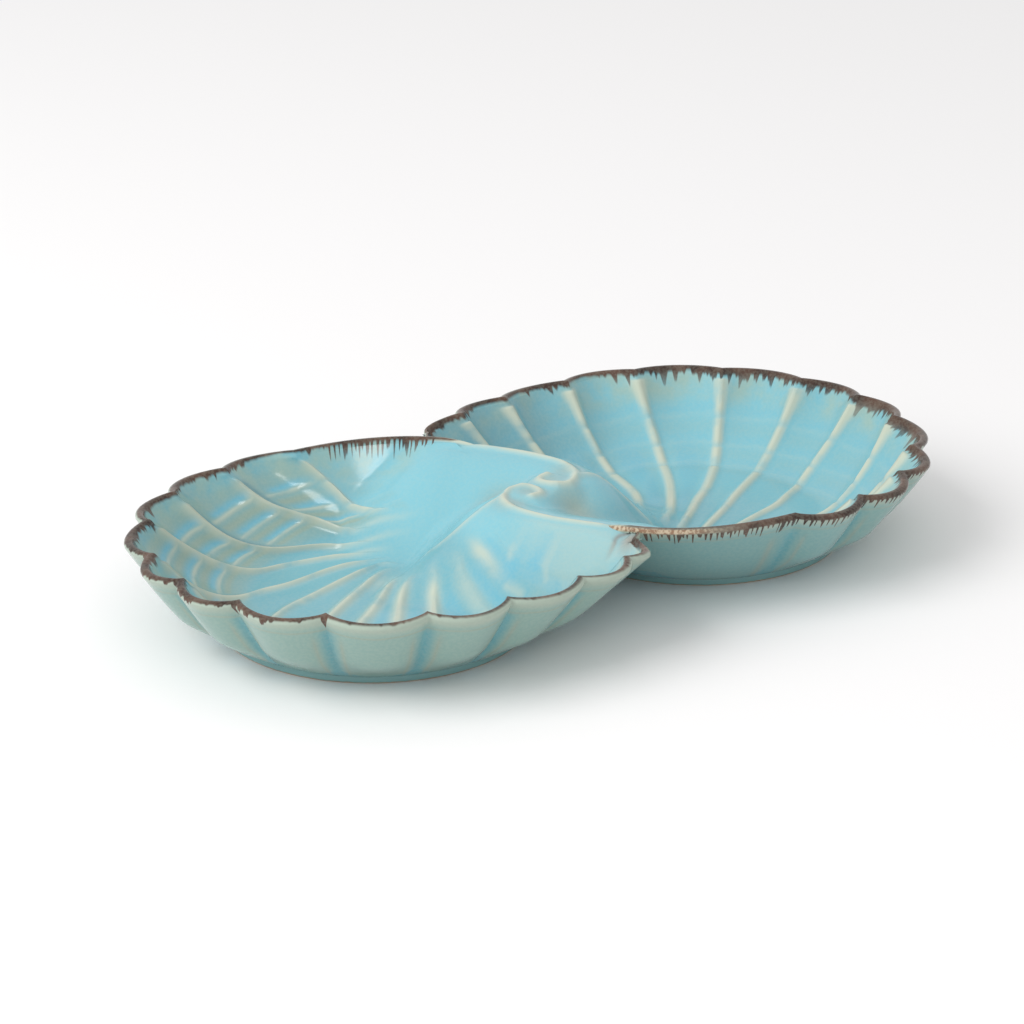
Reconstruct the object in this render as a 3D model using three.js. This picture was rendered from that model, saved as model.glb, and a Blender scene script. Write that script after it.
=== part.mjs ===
// Double scallop-shell serving dish in glazed stoneware.
// Two fluted bowls, the same but for a half turn, joined at the waist by an S-shaped scroll ridge.
// Millimetres, +Z up, origin on the table under the middle of the dish, +X along its length.
import * as THREE from "three";
import { mergeVertices } from "three/addons/utils/BufferGeometryUtils.js";

// Bowls
const BOWL_CENTRE_X = 72;
const FLOOR_HEIGHT = 7;
const UNDERSIDE_HEIGHT = 2.6;
const WALL_RUN = 34;
const WALL_CURVE = 1.7;
const OUTER_CURVE = 1.35;
const FLUTE_START_RADIUS = 38;
const FLUTE_FADE = 1.5;

// Foot rings
const FOOT_RADIUS = 54.5;
const FOOT_WIDTH = 7;
const FOOT_CHAMFER = 0.8;

// Rim: notches lie on a circle that widens toward the waist, and lobes swell out between them
const NOTCH_RADIUS = 79;
const FRONT_SPREAD = 16;
const BACK_SPREAD = 11;
const SPREAD_START_DEG = 88;
const SPREAD_END_DEG = 38;
const RIM_HEIGHT = 36;
const LOBE_DEPTH = 5.5;
const LOBE_DIP = 1.1;
const LOBE_ROUNDNESS = 0.8;
const FIRST_NOTCH_DEG = -42.5;
const LOBE_WIDTHS_DEG = [12, 15, 21, 21.5, 24.5, 23, 20, 18.5, 23, 20, 21, 21.5];
const FULL_LOBE_DEG = 18;
const SMOOTH_EDGE_DEG = 38;
const LIP_THICKNESS = 4.2;
const LIP_ROUNDING = 1.9;
const BAND_INSIDE = 3.6;
const BAND_OUTSIDE = 2.8;

// Scroll: the crest of one volute, from the waist to its eye; the other is the same turned half round
const RIDGE_POINTS = [
  [0, 52], [5, 46], [9, 40], [15, 30], [18.3, 22], [20.3, 14], [19.8, 7],
  [17.5, 1.8], [11, -3.8], [5, -2.6], [2.8, 2.5], [4.5, 6.3], [8.5, 7],
];
const RIDGE_HEIGHT = 34;
const SHOULDER_RUN = 58;
const FLANK_RUN = 38;
const CREST_SHARE = 0.62;
const BEAD_HEIGHT = 1.2;
const BEAD_HALF_WIDTH = 1.7;
const EYE_POINT = [6, 3];
const BOSS_HEIGHT = 33;
const BOSS_RADIUS = 4;
const BOSS_RUN = 22;
const FILLET = 8;

// Spur: the crest that runs down from a volute to the root of the flutes, on the left bowl
const SPUR_POINTS = [[-10, 3], [-18, 0], [-26, -1], [-33, 2], [-39, 8], [-44, 18]];
const SPUR_HEIGHT = 32.5;
const SPUR_VALLEY_RUN = 17;
const SPUR_FLUTE_RUN = 34;

// Ribs of the left bowl: one from each notch, round a bend, to its root near the pole of the shell.
// The last bend and root belong to the smooth edge's end, where there is no rib.
const POLE_POINT = [-42, 16];
const RIB_BENDS = [
  [-36, -42], [-46, -36], [-58, -36], [-72, -32], [-90, -30], [-92, -15], [-102, -7],
  [-112, 4], [-100, 32], [-80, 46], [-64, 57], [-52, 64], [-41, 62], [-18.5, 40.5],
];
const RIB_ROOTS = [
  [-37.4, 4.5], [-39, 6], [-41, 7], [-43, 8], [-45, 11], [-48, 16.5], [-50, 22],
  [-49, 27], [-46, 27], [-44, 28], [-41, 28.5], [-38, 28], [-35, 27], [-32.6, 25.8],
];
const RIB_HEIGHT = 1.6;
const RIB_FADE = 0.2;

// Scroll body: a strip over the joint of the bowls, wider on each side where a volute swells out
const STRIP_HALF_LENGTH = 30;
const STRIP_HALF_WIDTH = 6;
const STRIP_SWELL = 14;
const STRIP_SWELL_Y = -11;
const STRIP_SWELL_SPAN = 13;
const SEAT_HEIGHT = 22.5;

// Slip joint left between two pieces
const SEAM = 0.3;
const SEAM_RUN = 0.45;

// Glaze and clay
const GLAZE_COLOUR = 0x86cbd6;
const GLAZE_ROUGHNESS = 0.18;
const IRON_COLOUR = 0x6b5348;
const IRON_ROUGHNESS = 0.35;
const CLAY_COLOUR = 0xb79a78;
const CLAY_ROUGHNESS = 0.8;

// Mesh density
const LOBE_SHARES = [0, 0.09, 0.3, 0.5, 0.7, 0.91];
const SMOOTH_EDGE_STEPS = 8;
const WAIST_STEPS = 28;
const WAIST_END_STEPS = 6;
const RIDGE_STEPS = 90;
const STRIP_COLUMNS = 9;
const LIP_STEPS = 4;
const FOOT_STEPS = 72;
const MERGE = 1e-4;
const RIB_SHARES = [0, 0.13, 0.27, 0.4, 0.52, 0.64, 0.74, 0.83, 0.9, 0.96];
const WAIST_SHARES = [0.12, 0.23, 0.34, 0.44, 0.54, 0.63, 0.72, 0.8, 0.87, 0.94, 1];
const OUTSIDE_SHARES = [1, 0.8, 0.56, 0.32, 0.12, 0];

const { lerp, smoothstep, clamp, degToRad, radToDeg } = THREE.MathUtils;

// Height of two blended forms above the floor: the higher one, with a fillet in the hollow between
function blend(a, b) {
  const high = Math.max(a, b);
  const reach = Math.min(FILLET, 2 * Math.min(a, b), 2 * (RIM_HEIGHT - FLOOR_HEIGHT - high));
  const overlap = reach - Math.abs(a - b);
  return overlap > 0 ? high + (overlap * overlap) / (4 * reach) : high;
}

// Notch angles run clockwise from the front of the waist round to its back
const notches = [FIRST_NOTCH_DEG];
for (const width of LOBE_WIDTHS_DEG) {
  notches.push(notches.at(-1) - width);
}
const edgeEnd = notches.at(-1) - SMOOTH_EDGE_DEG;

// How far a lobe swells at an angle: 0 at a notch, 1 in the middle of a full lobe
function lobeSwell(degrees) {
  const turn = FIRST_NOTCH_DEG - ((((FIRST_NOTCH_DEG - degrees) % 360) + 360) % 360);
  const lobe = notches.findIndex((notch) => notch <= turn) - 1;
  if (lobe < 0) {
    return 0;
  }
  const share = (notches[lobe] - turn) / LOBE_WIDTHS_DEG[lobe];
  const strength = Math.min(LOBE_WIDTHS_DEG[lobe] / FULL_LOBE_DEG, 1);
  return strength * Math.sin(Math.PI * share) ** LOBE_ROUNDNESS;
}

function notchRadius(degrees) {
  const turn = ((((degrees + 180) % 360) + 360) % 360) - 180;
  const spread = lerp(FRONT_SPREAD, BACK_SPREAD, smoothstep(turn, -SPREAD_END_DEG, SPREAD_END_DEG));
  return NOTCH_RADIUS + spread * (1 - smoothstep(Math.abs(turn), SPREAD_END_DEG, SPREAD_START_DEG));
}

const lipRadius = (degrees) => notchRadius(degrees) + LOBE_DEPTH * lobeSwell(degrees);
const shoulderHeight = (degrees) => RIM_HEIGHT - LOBE_DIP * lobeSwell(degrees) - LIP_ROUNDING;

// Inside of the wall above the floor, up to the inner edge of the lip, fluted under the lobes
function wallRise(radius, degrees) {
  const notch = notchRadius(degrees);
  const fade = clamp((radius - FLUTE_START_RADIUS) / (notch - FLUTE_START_RADIUS), 0, 1) ** FLUTE_FADE;
  const edge = notch + LOBE_DEPTH * lobeSwell(degrees) * fade;
  const share = clamp((WALL_RUN - (edge - radius)) / (WALL_RUN - LIP_THICKNESS / 2), 0, 1);
  return (shoulderHeight(degrees) - FLOOR_HEIGHT) * share ** WALL_CURVE;
}

// Outside of the wall, from the foot up to the outer edge of the lip
function outsideHeight(radius, degrees) {
  const share = (radius - FOOT_RADIUS) / (lipRadius(degrees) + LIP_THICKNESS / 2 - FOOT_RADIUS);
  return UNDERSIDE_HEIGHT + (shoulderHeight(degrees) - UNDERSIDE_HEIGHT) * Math.max(share, 0) ** OUTER_CURVE;
}

const toVectors = (pairs) => pairs.map(([x, y]) => new THREE.Vector2(x, y));
const sampled = (points) => new THREE.SplineCurve(toVectors(points)).getSpacedPoints(RIDGE_STEPS);
const ridgeLine = sampled(RIDGE_POINTS);
const crestLine = ridgeLine.slice(0, Math.round(RIDGE_STEPS * CREST_SHARE) + 1);
const spurLine = sampled(SPUR_POINTS);
const bossLine = toVectors([EYE_POINT, EYE_POINT.map((value) => -value)]);

// Nearest point of a line: its distance, its share of the way along, and the side, 0 left to 1 right
function nearest(line, x, y) {
  const found = { distance: Infinity, along: 0, right: 0 };
  for (let i = 0; i + 1 < line.length; i += 1) {
    const [a, b] = [line[i], line[i + 1]];
    const [dx, dy] = [b.x - a.x, b.y - a.y];
    const share = clamp(((x - a.x) * dx + (y - a.y) * dy) / (dx * dx + dy * dy), 0, 1);
    const [offX, offY] = [x - a.x - share * dx, y - a.y - share * dy];
    const distance = Math.hypot(offX, offY);
    if (distance < found.distance) {
      const side = (dy * offX - dx * offY) / (Math.hypot(dx, dy) * Math.max(distance, MERGE));
      found.distance = distance;
      found.along = (i + share) / (line.length - 1);
      found.right = smoothstep(side, -1, 1);
    }
  }
  return found;
}

// Rounded crest that falls to the floor within its run
function hillRise(crest, distance, run) {
  const fall = Math.min(distance / run, 1);
  return (crest - FLOOR_HEIGHT) * (1 - fall * fall) ** 2;
}

// A volute ridge: a broad smooth shoulder on the inside of its curl, a shorter flank outside
function crestRise(x, y) {
  const { distance, along, right } = nearest(crestLine, x, y);
  const crest = lerp(RIM_HEIGHT - LIP_ROUNDING, RIDGE_HEIGHT, smoothstep(along, 0, CREST_SHARE));
  return hillRise(crest, distance, lerp(FLANK_RUN, SHOULDER_RUN, right));
}

function bossRise(x, y) {
  const fall = smoothstep(nearest(bossLine, x, y).distance, BOSS_RADIUS, BOSS_RADIUS + BOSS_RUN);
  return (BOSS_HEIGHT - FLOOR_HEIGHT) * (1 - fall);
}

function spurRise(x, y) {
  const { distance, along, right } = nearest(spurLine, x, y);
  const crest = lerp(SPUR_HEIGHT, FLOOR_HEIGHT, along);
  return hillRise(crest, distance, lerp(SPUR_FLUTE_RUN, SPUR_VALLEY_RUN, right));
}

function beadRise(x, y) {
  return BEAD_HEIGHT * Math.exp(-((nearest(ridgeLine, x, y).distance / BEAD_HALF_WIDTH) ** 2));
}

const polar = (x, y) => [Math.hypot(x + BOWL_CENTRE_X, y), radToDeg(Math.atan2(y, x + BOWL_CENTRE_X))];

// Upper face of the dish, the same when turned half round
function topHeight(x, y) {
  if (x > 0) {
    return topHeight(-x, -y);
  }
  const crests = blend(crestRise(x, y), crestRise(-x, -y));
  const spurs = blend(spurRise(x, y), spurRise(-x, -y));
  const scroll = blend(blend(crests, spurs), bossRise(x, y));
  const rise = blend(scroll, wallRise(...polar(x, y)));
  return FLOOR_HEIGHT + rise + beadRise(x, y) + beadRise(-x, -y);
}

// Closed geometry from cross-sections with equal point counts, joined in order
function solidFrom(sections, ring, capStart, capEnd) {
  const corners = [];
  const addTriangle = (a, b, c) => {
    if (a.distanceTo(b) > MERGE && b.distanceTo(c) > MERGE && c.distanceTo(a) > MERGE) {
      corners.push(...a, ...b, ...c);
    }
  };
  const last = ring ? sections.length : sections.length - 1;
  for (let i = 0; i < last; i += 1) {
    const near = sections[i];
    const far = sections[(i + 1) % sections.length];
    for (let k = 0; k < near.length; k += 1) {
      const next = (k + 1) % near.length;
      addTriangle(near[k], far[k], far[next]);
      addTriangle(near[k], far[next], near[next]);
    }
  }
  for (const [a, b, c] of capStart) {
    addTriangle(sections[0][a], sections[0][b], sections[0][c]);
  }
  for (const [a, b, c] of capEnd) {
    addTriangle(sections.at(-1)[a], sections.at(-1)[c], sections.at(-1)[b]);
  }
  const geometry = new THREE.BufferGeometry();
  geometry.setAttribute("position", new THREE.Float32BufferAttribute(corners, 3));
  const merged = mergeVertices(geometry, MERGE);
  merged.computeVertexNormals();
  return merged;
}

const bowlPoint = (radius, degrees, height) => new THREE.Vector3(
  radius * Math.cos(degToRad(degrees)) - BOWL_CENTRE_X,
  radius * Math.sin(degToRad(degrees)),
  height,
);
const between = (a, b, share) => new THREE.Vector3().lerpVectors(a, b, share);

// Width of the scroll body on the left bowl's side, measured from the joint along the bowl's radius
const stripWidth = (y) => (
  STRIP_HALF_WIDTH + STRIP_SWELL * Math.exp(-(((y - STRIP_SWELL_Y) / STRIP_SWELL_SPAN) ** 2))
);

// Places of the lip's cross-sections among the notches, from the front of the waist to its back
const lipPlaces = [];
for (let lobe = 0; lobe < LOBE_WIDTHS_DEG.length; lobe += 1) {
  lipPlaces.push(...LOBE_SHARES.map((share) => lobe + share));
}
for (let step = 0; step <= SMOOTH_EDGE_STEPS; step += 1) {
  lipPlaces.push(LOBE_WIDTHS_DEG.length + step / SMOOTH_EDGE_STEPS);
}
const spans = [...LOBE_WIDTHS_DEG, SMOOTH_EDGE_DEG];
const placeDeg = (place) => {
  const lobe = Math.min(Math.floor(place), spans.length - 1);
  return notches[lobe] - spans[lobe] * (place - lobe);
};
const lipAngles = lipPlaces.map(placeDeg);

const ribBends = toVectors(RIB_BENDS);
const ribRoots = toVectors(RIB_ROOTS);
const atPlace = (points, place) => {
  const first = Math.min(Math.floor(place), points.length - 2);
  return new THREE.Vector2().lerpVectors(points[first], points[first + 1], place - first);
};
const onTop = (point) => new THREE.Vector3(point.x, point.y, topHeight(point.x, point.y));
const pole = onTop(toVectors([POLE_POINT])[0]);

const insideEdge = (degrees) => lipRadius(degrees) - BAND_INSIDE;
const outsideEdge = (degrees) => lipRadius(degrees) + LIP_THICKNESS / 2 - BAND_OUTSIDE;
const insidePoint = (radius, degrees) => (
  bowlPoint(radius, degrees, FLOOR_HEIGHT + wallRise(radius, degrees))
);
const outsidePoint = (radius, degrees) => bowlPoint(radius, degrees, outsideHeight(radius, degrees));

// Half cross-section of a bowl under its lip, out along a rib's bend and back underneath
function lipSection(place) {
  const degrees = placeDeg(place);
  const inner = insideEdge(degrees) - SEAM_RUN;
  const outer = outsideEdge(degrees) - SEAM_RUN;
  const top = insidePoint(inner, degrees);
  const under = outsidePoint(outer, degrees);
  const path = new THREE.QuadraticBezierCurve(
    atPlace(ribRoots, place),
    atPlace(ribBends, place),
    new THREE.Vector2(top.x, top.y),
  );
  const ribbed = Number.isInteger(place) && place < ribRoots.length - 1;
  const points = RIB_SHARES.map((share) => {
    const point = onTop(path.getPoint(share));
    const taper = smoothstep(share, 0, RIB_FADE) * smoothstep(1 - share, 0, RIB_FADE);
    point.z += ribbed ? RIB_HEIGHT * taper : 0;
    return point;
  });
  points.push(top, between(top, under, 1 / 3), between(top, under, 2 / 3));
  for (const share of OUTSIDE_SHARES) {
    points.push(outsidePoint(lerp(FOOT_RADIUS, outer, share), degrees));
  }
  return points;
}

// The same at the waist, where the bowl ends on the joint plane at y and may carry the scroll's seat
function waistSection(y, seated) {
  const degrees = radToDeg(Math.atan2(y, BOWL_CENTRE_X));
  const middle = Math.hypot(y, BOWL_CENTRE_X);
  const joint = Math.min(middle - SEAM / 2, lipRadius(degrees));
  const edge = middle - stripWidth(y) - SEAM;
  const points = WAIST_SHARES.map((share) => onTop(between(pole, bowlPoint(edge, degrees, 0), share)));
  const under = outsidePoint(joint, degrees);
  if (seated) {
    points.push(bowlPoint(edge, degrees, SEAT_HEIGHT), bowlPoint(joint, degrees, SEAT_HEIGHT));
  } else {
    const top = onTop(bowlPoint(joint, degrees, 0));
    points.push(top, between(top, under, 1 / 2));
  }
  for (const share of OUTSIDE_SHARES) {
    points.push(outsidePoint(lerp(FOOT_RADIUS, joint, share), degrees));
  }
  return points;
}

function shellGeometry() {
  const sections = lipPlaces.map(lipSection);
  const addWaist = (from, to, steps, seated) => {
    for (let step = 0; step <= steps; step += 1) {
      sections.push(waistSection(lerp(from, to, step / steps), seated));
    }
  };
  const seatEnd = STRIP_HALF_LENGTH + SEAM;
  const backEnd = BOWL_CENTRE_X * Math.tan(degToRad(edgeEnd + 360)) - SEAM;
  const frontEnd = BOWL_CENTRE_X * Math.tan(degToRad(FIRST_NOTCH_DEG)) + SEAM;
  addWaist(backEnd, seatEnd + SEAM, WAIST_END_STEPS, false);
  addWaist(seatEnd, -seatEnd, WAIST_STEPS, true);
  addWaist(-seatEnd - SEAM, frontEnd, WAIST_END_STEPS, false);
  const underMiddle = new THREE.Vector3(-BOWL_CENTRE_X, 0, UNDERSIDE_HEIGHT);
  return solidFrom(sections.map((points) => [pole, ...points, underMiddle]), true, [], []);
}

// Cross-section of the lip: inside edge, rounded top, outside edge
function bandSection(degrees) {
  const middle = lipRadius(degrees);
  const half = LIP_THICKNESS / 2;
  const base = shoulderHeight(degrees);
  const points = [insidePoint(insideEdge(degrees), degrees)];
  for (let step = 0; step <= LIP_STEPS; step += 1) {
    const turn = (Math.PI * step) / LIP_STEPS;
    const height = base + LIP_ROUNDING * Math.sin(turn);
    points.push(bowlPoint(middle - half * Math.cos(turn), degrees, height));
  }
  points.push(outsidePoint(outsideEdge(degrees), degrees));
  return points;
}

function rimBandGeometry() {
  const angles = [...lipAngles];
  angles[0] -= radToDeg(SEAM / NOTCH_RADIUS);
  angles[angles.length - 1] += radToDeg(SEAM / NOTCH_RADIUS);
  const sections = angles.map(bandSection);
  const cap = [];
  for (let k = 1; k + 1 < sections[0].length; k += 1) {
    cap.push([0, k, k + 1]);
  }
  return solidFrom(sections, false, cap, cap);
}

// Scroll body: its top follows the dish, its base lies flat on the seat, its rows bend at the joint
function scrollGeometry() {
  const halfRow = (y, columns) => {
    const reach = stripWidth(y) / Math.hypot(y, BOWL_CENTRE_X);
    return columns.map((share) => new THREE.Vector2(-BOWL_CENTRE_X, -y).multiplyScalar(reach * share));
  };
  const columns = [];
  for (let k = 1; k <= STRIP_COLUMNS; k += 1) {
    columns.push(k / STRIP_COLUMNS);
  }
  const sections = [];
  for (let step = 0; step <= WAIST_STEPS; step += 1) {
    const y = lerp(STRIP_HALF_LENGTH, -STRIP_HALF_LENGTH, step / WAIST_STEPS);
    const west = halfRow(y, columns).reverse();
    const east = halfRow(-y, columns).map((offset) => offset.negate());
    const top = [...west, new THREE.Vector2(0, 0), ...east].map((offset) => (
      new THREE.Vector3(offset.x, offset.y + y, topHeight(offset.x, offset.y + y))
    ));
    const base = top.map((point) => new THREE.Vector3(point.x, point.y, SEAT_HEIGHT + SEAM)).reverse();
    sections.push([...top, ...base]);
  }
  const cap = [];
  const count = sections[0].length;
  for (let k = 0; k < 2 * STRIP_COLUMNS; k += 1) {
    cap.push([k, k + 1, count - 2 - k], [k, count - 2 - k, count - 1 - k]);
  }
  return solidFrom(sections, false, cap, cap);
}

// Foot ring, left a slip joint below the floor it carries
function footGeometry() {
  const inner = FOOT_RADIUS - FOOT_WIDTH;
  const top = UNDERSIDE_HEIGHT - SEAM;
  const profile = toVectors([
    [inner + FOOT_CHAMFER, 0],
    [FOOT_RADIUS - FOOT_CHAMFER, 0],
    [FOOT_RADIUS, FOOT_CHAMFER],
    [FOOT_RADIUS, top],
    [inner, top],
    [inner, FOOT_CHAMFER],
    [inner + FOOT_CHAMFER, 0],
  ]);
  const geometry = new THREE.LatheGeometry(profile, FOOT_STEPS);
  geometry.rotateX(Math.PI / 2);
  geometry.deleteAttribute("normal");
  geometry.deleteAttribute("uv");
  const merged = mergeVertices(geometry, MERGE);
  merged.translate(-BOWL_CENTRE_X, 0, 0);
  merged.computeVertexNormals();
  return merged;
}

function piece(name, geometry, color, roughness) {
  const mesh = new THREE.Mesh(geometry, new THREE.MeshStandardMaterial({ color, roughness, metalness: 0 }));
  mesh.name = name;
  return mesh;
}

function bowl(side) {
  const group = new THREE.Group();
  group.add(piece(`${side}_shell`, shellGeometry(), GLAZE_COLOUR, GLAZE_ROUGHNESS));
  group.add(piece(`${side}_rim_band`, rimBandGeometry(), IRON_COLOUR, IRON_ROUGHNESS));
  group.add(piece(`${side}_foot_ring`, footGeometry(), CLAY_COLOUR, CLAY_ROUGHNESS));
  return group;
}

const dish = new THREE.Group();
const rightBowl = bowl("right");
rightBowl.rotation.z = Math.PI;
dish.add(bowl("left"), rightBowl);
dish.add(piece("scroll_divider", scrollGeometry(), GLAZE_COLOUR, GLAZE_ROUGHNESS));

export default dish;
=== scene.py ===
"""Looks of the double scallop-shell dish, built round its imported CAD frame.

Sizes are millimetres in the frame's axes until a mesh is made, and metres after that.
"""

import logging
import math
from dataclasses import dataclass
from enum import Enum
from typing import ClassVar

import bpy
import numpy as np
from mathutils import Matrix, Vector


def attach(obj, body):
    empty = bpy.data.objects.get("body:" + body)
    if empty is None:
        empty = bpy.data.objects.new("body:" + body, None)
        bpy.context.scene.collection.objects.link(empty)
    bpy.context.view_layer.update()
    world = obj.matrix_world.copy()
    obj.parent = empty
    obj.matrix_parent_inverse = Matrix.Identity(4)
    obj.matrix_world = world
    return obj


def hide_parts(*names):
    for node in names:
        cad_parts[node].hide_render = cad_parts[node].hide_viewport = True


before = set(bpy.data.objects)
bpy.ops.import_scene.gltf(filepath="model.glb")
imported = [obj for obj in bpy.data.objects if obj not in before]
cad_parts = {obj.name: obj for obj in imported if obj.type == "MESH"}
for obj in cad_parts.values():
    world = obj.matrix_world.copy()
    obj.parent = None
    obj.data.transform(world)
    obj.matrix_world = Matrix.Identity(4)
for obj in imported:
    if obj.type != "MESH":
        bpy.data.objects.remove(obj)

LOG = logging.getLogger("dish")
MM = 0.001
FAR = 1000.0
Array = np.ndarray
Colour = tuple[float, float, float]
Place = tuple[float, float]
Blot = tuple[Place, float]


class Side(Enum):
    """The two bowls. The right one is the left one turned half round."""

    LEFT = "left"
    RIGHT = "right"

    @property
    def turn(self) -> float:
        """Factor on x and y that takes the left bowl to this one."""
        return 1.0 if self is Side.LEFT else -1.0


class Shine(Enum):
    """What a lamp is for."""

    MATT = "light on surfaces"
    GLOSS = "a reflection in the glaze"


def ramp(value: Array, low: float, high: float) -> Array:
    """Smooth step from 0 at low to 1 at high."""
    share = np.clip((value - low) / (high - low), 0.0, 1.0)
    return share * share * (3.0 - 2.0 * share)


def mix(low: Array | float, high: Array | float, share: Array) -> Array:
    """Linear mix of two values."""
    return low + (high - low) * share


def soft(distance: Array, half: Array | float) -> Array:
    """Bell curve: 1 at distance 0, fading over its half width."""
    return np.exp(-((distance / half) ** 2))


def blot(x: Array, y: Array, spot: Blot) -> Array:
    """Soft round spot in plan, given as its middle and its reach."""
    (middle_x, middle_y), reach = spot
    return soft(np.hypot(x - middle_x, y - middle_y), reach)


class Line:
    """A smooth plan line through a few points, sampled evenly."""

    def __init__(self, points: list[tuple[float, float]], steps: int) -> None:
        """Samples a Catmull-Rom curve.

        Args:
            points: the points that the line passes through.
            steps: how many equal stretches it is cut into.
        """
        ends = np.array([points[0], *points, points[-1]], float)
        share = np.linspace(0.0, 1.0, 24, endpoint=False)[:, None]
        runs = []
        for a, b, c, d in zip(ends, ends[1:], ends[2:], ends[3:]):
            square, cube = share**2, share**3
            curve = 2 * b + (c - a) * share + (2 * a - 5 * b + 4 * c - d) * square
            runs.append(0.5 * (curve + (3 * b - a - 3 * c + d) * cube))
        dense = np.vstack([*runs, ends[-1:]])
        length = np.concatenate([[0.0], np.cumsum(np.hypot(*np.diff(dense, axis=0).T))])
        even = np.linspace(0.0, length[-1], steps + 1)
        self.points = np.c_[np.interp(even, length, dense[:, 0]), np.interp(even, length, dense[:, 1])]
        self.length = float(length[-1])

    def nearest(self, x: Array, y: Array) -> tuple[Array, Array, Array]:
        """Nearest point of the line for many points.

        Args:
            x: the points' x.
            y: the points' y.

        Returns:
            Distance, share of the way along, and side from -1, left, to 1, right.
        """
        best = np.full(x.shape, 1e9)
        along = np.zeros(x.shape)
        side = np.zeros(x.shape)
        count = len(self.points) - 1
        for index in range(count):
            (ax, ay), (dx, dy) = self.points[index], self.points[index + 1] - self.points[index]
            share = np.clip(((x - ax) * dx + (y - ay) * dy) / (dx * dx + dy * dy), 0.0, 1.0)
            off_x, off_y = x - ax - share * dx, y - ay - share * dy
            distance = np.hypot(off_x, off_y)
            closer = distance < best - 1e-9
            best = np.where(closer, distance, best)
            along = np.where(closer, (index + share) / count, along)
            turned = (dy * off_x - dx * off_y) / (math.hypot(dx, dy) * np.maximum(distance, 1e-6))
            side = np.where(closer, turned, side)
        return best, along, side


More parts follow.
